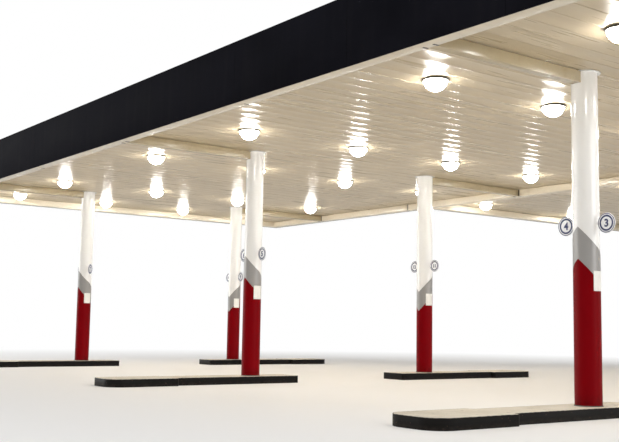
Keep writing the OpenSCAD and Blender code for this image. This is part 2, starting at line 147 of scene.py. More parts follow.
def merged(meshes: Iterable[bpy.types.Mesh], gap: float) -> bmesh.types.BMesh:
    """Gathers meshes and joins their points.

    Args:
        meshes: The meshes.
        gap: The distance up to which two points are one.

    Returns:
        The gathered mesh, which the caller frees.
    """
    work = bmesh.new()
    for mesh in meshes:
        work.from_mesh(mesh)
    bmesh.ops.remove_doubles(work, verts=work.verts, dist=gap)
    return work


@cache
def parts_of(node: str) -> list[Block]:
    """Finds the separate solids in a node of the frame.

    Args:
        node: The node's name.

    Returns:
        The box of each solid, in order along X and then Y.
    """
    mesh = merged([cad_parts[node].data], POINT_GAP)
    mesh.verts.ensure_lookup_table()
    seen: set[int] = set()
    boxes: list[Block] = []
    for start in mesh.verts:
        if start.index in seen:
            continue
        seen.add(start.index)
        stack, lowest, highest = [start], start.co.copy(), start.co.copy()
        while stack:
            vert = stack.pop()
            lowest = Vector(map(min, lowest, vert.co))
            highest = Vector(map(max, highest, vert.co))
            for edge in vert.link_edges:
                other = edge.other_vert(vert)
                if other.index not in seen:
                    seen.add(other.index)
                    stack.append(other)
        boxes.append(Block(lowest, highest))
    mesh.free()
    return sorted(boxes, key=lambda box: (round(box.low.x, 2), round(box.low.y, 2)))


def circle(count: int) -> list[float]:
    """Equal angles all the way round."""
    return [2 * math.pi * k / count for k in range(count)]


def around(
    centre: Sequence[float], angle: float, radius: float, rise: float = 0.0, axis: Axis = Axis.Z
) -> Point:
    """A place beside an axis.

    Args:
        centre: A point on the axis.
        angle: The angle round it, from X.
        radius: The distance from it.
        rise: The distance along it.
        axis: Its direction, Z or Y.

    Returns:
        The place.
    """
    out, over = radius * math.cos(angle), radius * math.sin(angle)
    if axis is Axis.Y:
        return (centre[0] + out, centre[1] + rise, centre[2] + over)
    return (centre[0] + out, centre[1] + over, centre[2] + rise)


def corners(centre: Vector, x: float, y: float) -> list[tuple[float, float]]:
    """The four places at x and y to both sides of a centre."""
    return [(centre.x + a, centre.y + b) for a in (-x, x) for b in (-y, y)]


def tint(hex_code: str) -> Colour:
    """Turns a colour as it is seen on a screen into the linear colour that a shader takes.

    Args:
        hex_code: Six hexadecimal digits, such as "c4b99d".

    Returns:
        The linear red, green and blue, with an alpha of one.
    """
    parts = [int(hex_code[i : i + 2], 16) / 255 for i in (0, 2, 4)]
    red, green, blue = (c / 12.92 if c <= 0.04045 else ((c + 0.055) / 1.055) ** 2.4 for c in parts)
    return (red, green, blue, 1.0)


class Tree:
    """A tree of nodes, with a short call for the kinds that shaders and shapes share."""

    def __init__(self, tree: bpy.types.NodeTree) -> None:
        """Takes the tree that the nodes go into."""
        self.tree = tree

    def fill(self, node: Node, inputs: dict) -> Node:
        """Gives a node's inputs their values, or links them.

        Args:
            node: The node.
            inputs: Values or sockets, by the input's name or number.

        Returns:
            The node.
        """
        for name, value in inputs.items():
            if isinstance(value, Socket):
                self.tree.links.new(value, node.inputs[name])
            else:
                node.inputs[name].default_value = value
        return node

    def add(self, kind: str, inputs: dict | None = None, **settings: object) -> Node:
        """Adds a node.

        Args:
            kind: The node's type.
            inputs: Values or sockets for its inputs, by name or number.
            **settings: Values for its properties.

        Returns:
            The node.
        """
        node = self.tree.nodes.new(kind)
        for name, value in settings.items():
            setattr(node, name, value)
        return self.fill(node, inputs or {})

    def maths(self, operation: str, first: object, second: object = 0.0) -> Socket:
        """One step of arithmetic on two values or sockets."""
        return self.add("ShaderNodeMath", {0: first, 1: second}, operation=operation).outputs[0]

    def between(self, value: object, low: float, high: float, to: tuple[float, float] = (0, 1)) -> Socket:
        """Maps the range from low to high onto another, without going past its ends."""
        return self.add("ShaderNodeMapRange", {0: value, 1: low, 2: high, 3: to[0], 4: to[1]}).outputs[0]


class Surface(Tree):
    """A material's tree, with a short call for each kind of node that the finishes use."""

    def __init__(self, name: str) -> None:
        """Starts a material with one shader and its output.

        Args:
            name: The material's name.
        """
        self.material = bpy.data.materials.new(name)
        self.material.use_nodes = True
        super().__init__(self.material.node_tree)
        self.shader = self.tree.nodes["Principled BSDF"]
        self.place = self.add("ShaderNodeTexCoord").outputs["Object"]

    def height(self, axis: Axis) -> Socket:
        """The place of a point along one axis, in metres."""
        return self.add("ShaderNodeSeparateXYZ", {0: self.place}).outputs[axis.value]

    def noise(self, scale: float, detail: float = 3.0, stretch: Point = (1, 1, 1)) -> Socket:
        """Cloudy noise from zero to one.

        Args:
            scale: How many clouds a metre holds.
            detail: How many finer layers are added.
            stretch: Factors on the three axes. A small one draws the clouds out along its axis.

        Returns:
            The noise's value.
        """
        mapping = self.add("ShaderNodeMapping", {"Vector": self.place, "Scale": stretch})
        inputs = {"Vector": mapping.outputs[0], "Scale": scale, "Detail": detail}
        return self.add("ShaderNodeTexNoise", inputs).outputs[0]

    def cells(self, scale: float, output: str = "Distance") -> Socket:
        """Cells like grit or spangle: the distance from their middles, or a colour each."""
        return self.add("ShaderNodeTexVoronoi", {"Vector": self.place, "Scale": scale}).outputs[output]

    def over(self, base: object, share: object, hex_code: str) -> Socket:
        """Lays a colour over another by a share from zero to one."""
        inputs = {0: share, 6: base, 7: tint(hex_code)}
        return self.add("ShaderNodeMix", inputs, data_type="RGBA").outputs[2]

    def bump(self, height: object, distance: float, after: Socket | None = None) -> Socket:
        """Raises the surface by a height from zero to one.

        Args:
            height: The socket that gives the height.
            distance: What a height of one stands for, in metres.
            after: The normal of an earlier bump, or None.

        Returns:
            The new normal.
        """
        inputs = {"Height": height, "Distance": distance, "Strength": 1.0}
        if after is not None:
            inputs["Normal"] = after
        return self.add("ShaderNodeBump", inputs).outputs[0]

    def wear(self, **sockets: object) -> Material:
        """Sets the shader's inputs, named with underscores for spaces, and ends the material."""
        self.fill(self.shader, {name.replace("_", " "): value for name, value in sockets.items()})
        return self.material


@dataclass(frozen=True)
class Paint:
    """Sprayed enamel on steel, with a slight orange peel, faint rain streaks and dirt near the ground."""

    name: str
    colour: str
    dirt: str = "8f8a80"
    roughness: float = 0.25
    coat: float = 0.0
    splash_top: float = 0.0
    streaks: float = 0.12
    chips: float = 0.0
    gloss: float = 0.5
    metal: float = 0.0
    worn_from: float = 0.0

    def make(self) -> Material:
        """Builds the material.

        Returns:
            The material.
        """
        s = Surface(self.name)
        clouds = s.noise(1.1, 4)
        runs = s.noise(9.0, 4, (1, 1, 0.06))
        base = s.over(tint(self.colour), s.between(clouds, 0.3, 0.7, (0, 0.06)), self.dirt)
        base = s.over(base, s.between(runs, 0.55, 0.8, (0, self.streaks)), self.dirt)
        rough = s.between(clouds, 0.3, 0.7, (self.roughness * 0.85, self.roughness * 1.25))
        if self.splash_top > 0:
            low = s.between(s.height(Axis.Z), self.splash_top * 0.35, self.splash_top, (1, 0))
            splash = s.maths("MULTIPLY", low, s.between(s.noise(14.0, 6), 0.38, 0.66, (0.15, 0.8)))
            base = s.over(base, splash, self.dirt)
            rough = s.maths("MAXIMUM", rough, s.maths("MULTIPLY", splash, 0.7))
        if self.chips > 0:
            base = s.over(base, s.between(s.noise(31.0, 8), 0.69, 0.71, (0, self.chips)), "7a5a48")
        if self.worn_from > 0:
            rim = s.between(s.height(Axis.Z), self.worn_from, self.worn_from + 0.006)
            worn = s.maths("MULTIPLY", rim, s.between(s.noise(19.0, 6), 0.44, 0.56, (0, 0.9)))
            base = s.over(base, worn, "a89f8f")
            rough = s.maths("MAXIMUM", rough, s.maths("MULTIPLY", worn, 0.6))
        normal = s.bump(s.noise(260.0, 2), 0.00012)
        normal = s.bump(s.noise(3.0, 2), 0.0006, normal)
        return s.wear(
            Base_Color=base, Roughness=rough, Normal=normal, Coat_Weight=self.coat, Coat_Roughness=0.06,
            Specular_IOR_Level=self.gloss, Metallic=self.metal,
        )


@dataclass(frozen=True)
class PrefinishedSheet:
    """Factory painted sheet: each length differs a little, and water has drawn it out along its run."""

    name: str
    colour: str
    stain: str
    axis: Axis
    pitch: float
    roughness: float = 0.24
    waves: float = 0.0003
    grain: float = 0.00003
    gloss: float = 0.5

    def make(self) -> Material:
        """Builds the material.

        Returns:
            The material.
        """
        s = Surface(self.name)
        step = s.maths("FLOOR", s.maths("DIVIDE", s.height(self.axis), self.pitch))
        each = s.add("ShaderNodeTexWhiteNoise", {"W": step}, noise_dimensions="1D").outputs[0]
        drawn = (1, 0.07, 1) if self.axis is Axis.X else (0.07, 1, 1)
        runs = s.noise(7.0, 5, drawn)
        base = s.over(tint(self.colour), s.between(each, 0, 1, (0, 0.10)), self.stain)
        base = s.over(base, s.between(runs, 0.52, 0.8, (0, 0.35)), self.stain)
        base = s.over(base, s.between(s.noise(0.5, 3), 0.45, 0.75, (0, 0.22)), self.stain)
        rough = s.between(runs, 0.3, 0.8, (self.roughness * 0.96, self.roughness * 1.06))
        normal = s.bump(s.noise(1.7, 1, (1, 0.35, 1)), self.waves)
        normal = s.bump(s.noise(320.0, 2), self.grain, normal)
        return s.wear(Base_Color=base, Roughness=rough, Normal=normal, Specular_IOR_Level=self.gloss)


@dataclass(frozen=True)
class FasciaSheet:
    """Near-black satin composite panels, butted with hairline seams."""

    name: str
    colour: str
    seam: float
    seams_before: int = 500
    roughness: float = 0.45
    gloss: float = 0.003

    def make(self) -> Material:
        """Builds the material.

        Returns:
            The material.
        """
        s = Surface(self.name)
        haze = s.noise(0.6, 4, (1, 1, 2))
        dust = s.between(s.noise(5.0, 6, (1, 1, 0.1)), 0.5, 0.85, (0, 0.04))
        base = s.over(tint(self.colour), s.between(haze, 0.3, 0.7), "1a1a20")
        base = s.over(base, dust, "55504c")
        lines = []
        for axis in (Axis.X, Axis.Y):
            run = s.maths("ADD", s.height(axis), self.seams_before * self.seam)
            part = s.maths("FRACT", s.maths("DIVIDE", run, self.seam))
            edge = s.maths("ABSOLUTE", s.maths("SUBTRACT", part, 0.5))
            lines.append(s.between(edge, 0.0006, 0.0012, (1, 0)))
        seams = s.maths("MAXIMUM", *lines)
        base = s.over(base, seams, "060607")
        rough = s.between(haze, 0.3, 0.7, (self.roughness * 0.85, self.roughness * 1.2))
        normal = s.bump(s.noise(0.8, 1), 0.004)
        normal = s.bump(s.maths("SUBTRACT", 1.0, seams), 0.002, normal)
        return s.wear(Base_Color=base, Roughness=rough, Normal=normal, Specular_IOR_Level=self.gloss)


@dataclass(frozen=True)
class Concrete:
    """Trowelled concrete, pale, with sand, pores, tyre dust and old drips."""

    name: str
    colour: str
    stain: str

    def make(self) -> Material:
        """Builds the material.

        Returns:
            The material.
        """
        s = Surface(self.name)
        clouds = s.between(s.noise(1.8, 6), 0.35, 0.7)
        grit = s.between(s.noise(150.0, 8), 0.35, 0.68)
        sand = s.between(s.cells(330.0), 0.15, 0.6)
        pores = s.between(s.cells(75.0), 0.06, 0.15, (1, 0))
        drips = s.between(s.noise(6.5, 3), 0.63, 0.70, (0, 0.45))
        scuffs = s.between(s.noise(3.0, 7, (1, 0.12, 1)), 0.56, 0.8, (0, 0.4))
        base = tint(self.colour)
        for layer, share, colour in (
            (clouds, 0.6, self.stain), (grit, 0.45, "b5aa97"), (sand, 0.25, "f6f1e4"), (pores, 0.5, "6f675a")
        ):
            base = s.over(base, s.maths("MULTIPLY", layer, share), colour)
        base = s.over(base, drips, "8d8373")
        base = s.over(base, scuffs, "a39883")
        normal = s.bump(s.noise(4.0, 3), 0.006)
        normal = s.bump(grit, 0.0022, normal)
        normal = s.bump(s.maths("SUBTRACT", 1.0, pores), 0.0022, normal)
        return s.wear(Base_Color=base, Roughness=s.between(clouds, 0, 1, (0.7, 0.9)), Normal=normal)


@dataclass(frozen=True)
class Galvanised:
    """Hot-dip zinc with its spangle, dulled by weather."""

    name: str
    colour: str = "a9adae"
    rust: float = 0.0

    def make(self) -> Material:
        """Builds the material.

        Returns:
            The material.
        """
        s = Surface(self.name)
        spangle = s.cells(45.0, "Color")
        dull = s.between(s.noise(2.5, 5), 0.35, 0.7)
        bleed = s.between(s.noise(7.0, 7, (1, 1, 0.3)), 0.62, 0.75, (0, self.rust))
        base = s.over(tint(self.colour), s.maths("MULTIPLY", spangle, 0.35), "c9cccb")
        base = s.over(base, s.maths("MULTIPLY", dull, 0.5), "8c8f8e")
        base = s.over(base, bleed, "7b4a2e")
        rough = s.between(spangle, 0, 1, (0.38, 0.55))
        metal = s.between(bleed, 0, 1, (0.75, 0.0))
        normal = s.bump(s.noise(60.0, 3), 0.0002)
        return s.wear(Base_Color=base, Roughness=rough, Metallic=metal, Normal=normal)


@dataclass(frozen=True)
class LampGlass:
    """Opal glass of a lit bowl: brightest below the source, softer towards its rim."""

    name: str
    colour: str
    bowl: Block
    strength: float

    def make(self) -> Material:
        """Builds the material.

        Returns:
            The material.
        """
        s = Surface(self.name)
        foot, rim = self.bowl.low.z, self.bowl.high.z
        rise = s.between(s.height(Axis.Z), foot, rim, (1, 0.55))
        flecks = s.between(s.noise(40.0, 2), 0.2, 0.8, (0.92, 1.0))
        glow = s.maths("MULTIPLY", s.maths("MULTIPLY", rise, flecks), self.strength)
        tone = s.over(tint("ffffff"), s.between(s.height(Axis.Z), foot, rim), self.colour)
        return s.wear(
            Base_Color=tint("f4f0e6"), Roughness=0.18, Coat_Weight=0.3, Emission_Color=tone,
            Emission_Strength=glow,
        )


class Finishes:
    """Every finish of the canopy, each made once."""

    def __init__(self) -> None:
        """Makes the materials."""
        seam, gutter_length = Fascias.seam, 6.1
        self.column_white = Paint("column_white", "f9f9f8", roughness=0.16, coat=0.35, streaks=0.06).make()
        self.wrap_red = Paint(
            "wrap_red", "7d0009", dirt="480a0c", roughness=0.36, splash_top=0.35, streaks=0.13, gloss=0.05
        ).make()
        self.wrap_grey = Paint("wrap_grey", "979593", dirt="6a6764", roughness=0.34, metal=0.2).make()
        self.disc_white = Paint("disc_white", "fbfcff", dirt="b9b9b6", roughness=0.22, streaks=0.03).make()
        self.navy = Paint("disc_navy", "1c2a5e", dirt="2b3566", roughness=0.35, streaks=0.0).make()
        self.notice = Paint("notice_white", "f4f3ee", dirt="c9c5ba", roughness=0.3, streaks=0.2).make()
        self.kerb_black = Paint(
            "kerb_black", "0e0d0c", dirt="302b26", roughness=0.5, splash_top=0.07, streaks=0.1, chips=0.8,
            gloss=0.1, worn_from=0.153,
        ).make()
        self.concrete = Concrete("island_concrete", "e6decd", "c3b8a3").make()
        self.sealant = Paint("sealant", "4b4843", dirt="6f6a60", roughness=0.6, streaks=0.2).make()
        self.deck = PrefinishedSheet(
            "deck_enamel", "c6b79b", "aa987a", Axis.X, PAN_PITCH, roughness=0.28, waves=0.00002,
            grain=0.000003, gloss=0.38,
        ).make()
        # The second of these is the same cream gutter enamel, painted darker for the front gutter: painted
        # shade on the street side.
        self.gutter, self.front_gutter, self.trough = (
            PrefinishedSheet(name, colour, stain, axis, pitch, waves=0.0004).make()
            for name, colour, stain, axis, pitch in (
                ("gutter_enamel", "f3e9d4", "dccfb5", Axis.X, gutter_length),
                ("street_gutter_enamel_painted_shade", "dfd5c0", "c2b59d", Axis.X, gutter_length),
                ("trough_enamel", "baac8e", "9d8b68", Axis.Y, 3.0),
            )
        )
        self.fascia = FasciaSheet("fascia_black", "121217", seam).make()
        self.coping = FasciaSheet("coping_black", "17171c", seam, roughness=0.5, gloss=0.08).make()
        self.steel = Paint(
            "steel_primer", "8f9390", dirt="6e5a4c", roughness=0.55, streaks=0.35, chips=0.25, gloss=0.3
        ).make()
        self.zinc = Galvanised("zinc", rust=0.25).make()
        self.bright_zinc = Galvanised("bright_zinc", "b7babb").make()
        self.bezel = Paint("bezel_dark", "3a3833", dirt="55514a", roughness=0.3, streaks=0.0).make()
        self.glass = LampGlass("lamp_glass", "fffaf0", parts_of("lamp_bowls")[0], 75.0).make()


def link(name: str, data: bpy.types.ID) -> Thing:
    """Puts an object in the scene.

    Args:
        name: Its name.
        data: Its mesh, curve, lamp or camera.

    Returns:
        The object.
    """
    thing = bpy.data.objects.new(name, data)
    bpy.context.scene.collection.objects.link(thing)
    return thing


def discard(*things: Thing) -> None:
    """Removes helper objects."""
    for thing in things:
        bpy.data.objects.remove(thing, do_unlink=True)


def smooth(mesh: bpy.types.Mesh, crease: float) -> None:
    """Shades a mesh smooth, apart from its edges sharper than the crease, in degrees."""
    mesh.shade_smooth()
    mesh.set_sharp_from_angle(angle=math.radians(crease))


def solid(name: str, work: bmesh.types.BMesh, material: Material, crease: float) -> Thing:
    """Ends a gathered mesh as an object.

    Args:
        name: The object's name.
        work: The gathered mesh, which is freed.
        material: Its finish.
        crease: The angle in degrees past which an edge stays hard.

    Returns:
        The object.
    """
    mesh = bpy.data.meshes.new(name)
    work.to_mesh(mesh)
    work.free()
    mesh.materials.append(material)
    smooth(mesh, crease)
    return link(name, mesh)


def evaluated(thing: Thing) -> bpy.types.Mesh:
    """A plain copy of an object's mesh or curve with its modifiers run."""
    graph = bpy.context.evaluated_depsgraph_get()
    return bpy.data.meshes.new_from_object(thing.evaluated_get(graph))


def flatten(thing: Thing, crease: float) -> None:
    """Turns an object with modifiers into a plain mesh and removes the modifiers.

    Args:
        thing: The object.
        crease: The angle in degrees past which an edge stays hard.
    """
    mesh = evaluated(thing)
    thing.modifiers.clear()
    thing.data = mesh
    smooth(mesh, crease)


class Mesher:
    """Gathers plain faces, then hands them over as one piece."""

    def __init__(self) -> None:
        """Starts with nothing."""
        self.points: list[Vector] = []
        self.faces: list[tuple[int, ...]] = []

    def add(self, points: Iterable[Sequence[float]], faces: Iterable[Sequence[int]]) -> "Mesher":
        """Adds points and faces.

        Args:
            points: The points.
            faces: The numbers of each face's points, counted from the first new one.

        Returns:
            This mesher.
        """
        start = len(self.points)
        self.points += [Vector(p) for p in points]
        self.faces += [tuple(start + i for i in face) for face in faces]
        return self

    def block(self, *spans: tuple[float, float]) -> "Mesher":
        """Adds a box.

        Args:
            *spans: Its two ends along X, Y and Z, in any order.

        Returns:
            This mesher.
        """
        (x0, x1), (y0, y1), (z0, z1) = (sorted(span) for span in spans)
        points = [(x, y, z) for z in (z0, z1) for x, y in ((x0, y0), (x1, y0), (x1, y1), (x0, y1))]
        walls = [(k, (k + 1) % 4, (k + 1) % 4 + 4, k + 4) for k in range(4)]
        return self.add(points, [(3, 2, 1, 0), (4, 5, 6, 7), *walls])

    def sweep(self, rings: Sequence[Sequence[Sequence[float]]], closed: bool = False) -> "Mesher":
        """Joins rings of points with faces, and caps the two ends of an open sweep.

        Args:
            rings: Loops with equally many points.
            closed: True if the last ring joins the first.

        Returns:
            This mesher.
        """
        count, size = len(rings), len(rings[0])
        faces = []
        for i in range(count if closed else count - 1):
            for k in range(size):
                a, b = i * size, (i + 1) % count * size
                faces.append((a + k, a + (k + 1) % size, b + (k + 1) % size, b + k))
        if not closed:
            faces.append(tuple(reversed(range(size))))
            faces.append(tuple((count - 1) * size + k for k in range(size)))
        return self.add([p for ring in rings for p in ring], faces)

    def turn(
        self, profile: Profile, centre: Sequence[float], angles: Sequence[float], closed: bool = True,
        axis: Axis = Axis.Z,
    ) -> "Mesher":
        """Sweeps a profile of (radius, rise) pairs round an axis, with a ring at each angle."""
        return self.sweep([[around(centre, a, r, rise, axis) for r, rise in profile] for a in angles], closed)

    def lathe(self, profile: Profile, centre: Sequence[float], count: int) -> "Mesher":
        """Turns a profile that starts and ends on an upright axis.

        Args:
            profile: Its (radius, rise) pairs.
            centre: The foot of the axis.
            count: How many sides the shape has.

        Returns:
            This mesher.
        """
        rows = profile[1:-1]
        points = [around(centre, 0.0, 0.0, profile[0][1])]
        points += [around(centre, a, radius, rise) for radius, rise in rows for a in circle(count)]
        points.append(around(centre, 0.0, 0.0, profile[-1][1]))
        tail, faces = 1 + (len(rows) - 1) * count, []
        for k in range(count):
            n = (k + 1) % count
            faces.append((0, 1 + n, 1 + k))
            for a in range(1, tail, count):
                faces.append((a + k, a + n, a + count + n, a + count + k))
            faces.append((tail + k, tail + n, len(points) - 1))
        return self.add(points, faces)

    def piece(self, name: str, material: Material, crease: float = 35.0) -> Thing:
        """Makes the object, with faces that point outwards.

        Args:
            name: Its name.
            material: Its finish.
            crease: The angle in degrees past which an edge stays hard.

        Returns:
            The object.
        """
        plain = bpy.data.meshes.new("plain")
        plain.from_pydata([tuple(p) for p in self.points], [], self.faces)
        work = bmesh.new()
        work.from_mesh(plain)
        bpy.data.meshes.remove(plain)
        bmesh.ops.recalc_face_normals(work, faces=work.faces)
        return solid(name, work, material, crease)


def hand_over(thing: Thing, slot: str, *nodes: str) -> None:
    """Puts a finished piece on the canopy's one body.

    Args:
        thing: The piece.
        slot: Not used.
        *nodes: The nodes of the frame that it stands for.
    """
    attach(thing, "root")
    if nodes:
        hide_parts(*nodes)
    LOG.info("%s: %d faces", thing.name, len(thing.data.polygons))


def dress(material: Material, *nodes: str) -> None:
    """Gives nodes of the frame a finish, and leaves their shape alone.

    Args:
        material: The finish.
        *nodes: The nodes.
    """
    for node in nodes:
        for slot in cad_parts[node].material_slots:
            slot.material = material
        LOG.info("%s wears %s", node, material.name)


def softened(name: str, nodes: Sequence[str], width: float, material: Material) -> Thing:
    """Copies nodes of the frame with their hard edges rounded, as folded sheet and cast edges are.

    Args:
        name: The new piece's name.
        nodes: The nodes that it is made from.
        width: How wide the rounding is.
        material: Its finish.

    Returns:
        The piece, not yet handed over.
    """
    work = merged((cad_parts[node].data for node in nodes), POINT_GAP)
    bmesh.ops.dissolve_limit(
        work, angle_limit=FLAT_ANGLE, verts=work.verts, edges=work.edges, use_dissolve_boundaries=False
    )
    hard = [edge for edge in work.edges if edge.is_manifold and edge.calc_face_angle(0.0) > HARD_ANGLE]
    bmesh.ops.bevel(
        work, geom=hard, offset=width, offset_type="OFFSET", segments=2, profile=0.5, affect="EDGES",
        clamp_overlap=True,
    )
    bmesh.ops.remove_doubles(work, verts=work.verts, dist=FINE_GAP)
    bmesh.ops.dissolve_degenerate(work, dist=FINE_GAP, edges=work.edges)
    return solid(name, work, material, crease=50)


def carve(thing: Thing, cutter: Mesher, crease: float = 35.0) -> None:
    """Cuts gathered solids out of a piece, whose finish the cut faces take.

    Args:
        thing: The piece.
        cutter: The solids.
        crease: The angle in degrees past which an edge of the piece stays hard.
    """
    tool = cutter.piece("cutter", thing.data.materials[0])
    modifier = thing.modifiers.new("cut", "BOOLEAN")
    modifier.operation, modifier.solver, modifier.object = "DIFFERENCE", "EXACT", tool
    flatten(thing, crease)
    discard(tool)


def is_closed(mesh: bpy.types.Mesh) -> bool:
    """Tests a mesh for gaps.

    Args:
        mesh: The mesh.

    Returns:
        True if every edge has a face on both sides, once the doubles are merged.
    """
    work = merged([mesh], FINE_GAP)
    whole = all(len(edge.link_faces) == 2 for edge in work.edges)
    work.free()
    return whole


class Recipe(Tree):
    """A tree of geometry nodes with named inputs. It ends in Realize Instances and Set Material."""

    def __init__(self, name: str, **inputs: tuple[str, object]) -> None:
        """Starts the tree.

        Args:
            name: The tree's name.
            **inputs: The kind of socket and the default of each named size.
        """
        super().__init__(bpy.data.node_groups.new(name, "GeometryNodeTree"))
        face = self.tree.interface
        for way in ("INPUT", "OUTPUT"):
            face.new_socket("Geometry", in_out=way, socket_type="NodeSocketGeometry")
        self.sockets = {}
        for label, (kind, default) in {**inputs, "Finish": ("Material", None)}.items():
            socket = face.new_socket(label, in_out="INPUT", socket_type="NodeSocket" + kind)
            if default is not None:
                socket.default_value = default
            self.sockets[label] = socket.identifier
        self.start = self.tree.nodes.new("NodeGroupInput")
        self.end = self.tree.nodes.new("NodeGroupOutput")

    def given(self, name: str) -> Socket:
        """The socket of a named input."""
        return self.start.outputs[name]

    def shape_of(self, name: str) -> Socket:
        """The shape of the object in a named input."""
        return self.add("GeometryNodeObjectInfo", {"Object": self.given(name)}).outputs["Geometry"]

    def vector(self, x: object = 0.0, y: object = 0.0, z: object = 0.0) -> Socket:
        """Joins three values or sockets into a vector."""
        return self.add("ShaderNodeCombineXYZ", {0: x, 1: y, 2: z}).outputs[0]

    def place(self, points: Socket, shape: Socket, **turn: Socket) -> "Recipe":
        """Sets a shape on each point, realizes the instances, sets the material and ends the tree.

        Args:
            points: The points.
            shape: The shape.
            **turn: The rotation at each point, if it has one.

        Returns:
            This recipe.
        """
        inputs = {"Points": points, "Instance": shape, **turn}
        placed = self.add("GeometryNodeInstanceOnPoints", inputs).outputs[0]
        real = self.add("GeometryNodeRealizeInstances", {"Geometry": placed}).outputs[0]
        dressed = self.add("GeometryNodeSetMaterial", {"Geometry": real, "Material": self.given("Finish")})
        self.tree.links.new(dressed.outputs[0], self.end.inputs[0])
        return self

    def scatter(self, shape: Socket) -> "Recipe":
        """Sets a shape on each input point, with its Z axis along the point's own axis, and ends the tree.

        Args:
            shape: The shape.

        Returns:
            This recipe.
        """
        axis = self.add("GeometryNodeInputNamedAttribute", {"Name": "axis"}, data_type="FLOAT_VECTOR")
        turn = self.add("FunctionNodeAlignRotationToVector", {"Vector": axis.outputs[0]}, axis="Z")
        return self.place(self.given("Geometry"), shape, Rotation=turn.outputs[0])

    def cook(self, thing: Thing, crease: float, **values: object) -> None:
        """Runs the tree on an object and leaves a plain mesh.

        Args:
            thing: The object whose mesh is the tree's input geometry.
            crease: The angle in degrees past which an edge stays hard.
            **values: A value for each named input.
        """
        modifier = thing.modifiers.new("recipe", "NODES")
        modifier.node_group = self.tree
        for name, value in values.items():
            modifier[self.sockets[name]] = value
        thing.data.materials.clear()
        flatten(thing, crease)


# The outline of a round head and the sizes of a bolt head on its washer, as shares of the fastener's size.
DOME: Profile = ((0.0, -0.12), (1.0, -0.12), (1.0, 0.12), (0.72, 0.34), (0.0, 0.46))
HEXAGON = {"Across": 1.0, "Head": 0.55, "Washer": 0.78, "Plate": 0.12}


@cache
def row_recipe() -> Recipe:
    """Repeats the input geometry at even steps along X.

    Returns:
        The recipe.
    """
    r = Recipe("row", Count=("Int", 2), Pitch=("Float", 1.0))
    line = r.add("GeometryNodeMeshLine", {"Count": r.given("Count"), "Offset": r.vector(x=r.given("Pitch"))})
    return r.place(line.outputs[0], r.given("Geometry"))


@cache
def scatter_recipe() -> Recipe:
    """Puts a shape on each input point."""
    r = Recipe("scatter", Shape=("Object", None))
    return r.scatter(r.shape_of("Shape"))


@cache
def bolt_recipe() -> Recipe:
    """Puts a hexagon head on a round washer at each input point.

    Returns:
        The recipe.
    """
    r = Recipe("bolts", **{label: ("Float", share) for label, share in HEXAGON.items()})
    corner = r.maths("DIVIDE", r.given("Across"), math.sqrt(3))
    middle_of_plate = r.maths("MULTIPLY", r.given("Plate"), 0.5)
    middle_of_head = r.maths("ADD", r.given("Plate"), r.maths("MULTIPLY", r.given("Head"), 0.5))
    both = r.add("GeometryNodeJoinGeometry")
    for sides, radius, depth, rise in (
        (16, r.given("Washer"), "Plate", middle_of_plate), (6, corner, "Head", middle_of_head)
    ):
        sizes = {"Vertices": sides, "Radius": radius, "Depth": r.given(depth)}
        drum = r.add("GeometryNodeMeshCylinder", sizes).outputs[0]
        raised = r.add("GeometryNodeTransform", {"Geometry": drum, "Translation": r.vector(z=rise)})
        r.tree.links.new(raised.outputs[0], both.inputs[0])
    return r.scatter(both.outputs[0])


@cache
def flute_recipe() -> Recipe:
    """Presses shallow upright flutes into a turned bowl about the Z axis, then sets one at each lamp.

    Returns:
        The recipe.
    """
    r = Recipe("flutes", Count=("Int", 36), Depth=("Float", 0.002), Lamps=("Object", None))
    split = r.add("ShaderNodeSeparateXYZ", {0: r.add("GeometryNodeInputPosition").outputs[0]}).outputs
    wave = r.maths("COSINE", r.maths("MULTIPLY", r.maths("ARCTAN2", split[1], split[0]), r.given("Count")))
    normal = r.add("GeometryNodeInputNormal").outputs[0]
    push = {0: normal, "Scale": r.maths("MULTIPLY", wave, r.given("Depth"))}
    offset = r.add("ShaderNodeVectorMath", push, operation="SCALE").outputs[0]
    pressed = r.add("GeometryNodeSetPosition", {"Geometry": r.given("Geometry"), "Offset": offset})
    return r.place(r.shape_of("Lamps"), pressed.outputs[0])


def point_cloud(name: str, spots: Sequence[Spot]) -> Thing:
    """Makes loose points that carry their own axis.

    Args:
        name: The object's name.
        spots: A place and a direction for each point.

    Returns:
        The object.
    """
    mesh = bpy.data.meshes.new(name)
    mesh.from_pydata([tuple(place) for place, _ in spots], [], [])
    axes = mesh.attributes.new("axis", "FLOAT_VECTOR", "POINT")
    for point, (_, way) in zip(axes.data, spots):
        point.vector = tuple(way)
    return link(name, mesh)


@dataclass(frozen=True)
class Fastener:
    """A kind of head that is set many times: low and round, or a hexagon on a washer.

    Its size is the radius of the round head or the width of the hexagon across its flats.
    """

    size: float
    hexagon: bool = False
    sides: int = 12

    def drive(self, name: str, spots: Sequence[Spot], material: Material, slot: str) -> None:
        """Sets one head at each spot.

        Args:
            name: The piece's name.
            spots: A place and an outward direction for each head.
            material: Their finish.
            slot: Handed on to hand_over, which does not use it.
        """
        heads = point_cloud(name, spots)
        if self.hexagon:
            sizes = {label: self.size * share for label, share in HEXAGON.items()}
            bolt_recipe().cook(heads, crease=30, Finish=material, **sizes)
        else:
            profile = [(self.size * out, self.size * up) for out, up in DOME]
            head = Mesher().lathe(profile, (0, 0, 0), self.sides).piece("head", material)
            scatter_recipe().cook(heads, crease=40, Shape=head, Finish=material)
            discard(head)
        hand_over(heads, slot)


RIVET, SMALL_RIVET, ARM_RIVET, SCREW = (Fastener(size) for size in (0.0045, 0.0035, 0.004, 0.006))
CLIP_BOLT, BEAM_BOLT, ANCHOR_NUT = (Fastener(size, hexagon=True) for size in (0.032, 0.036, 0.042))


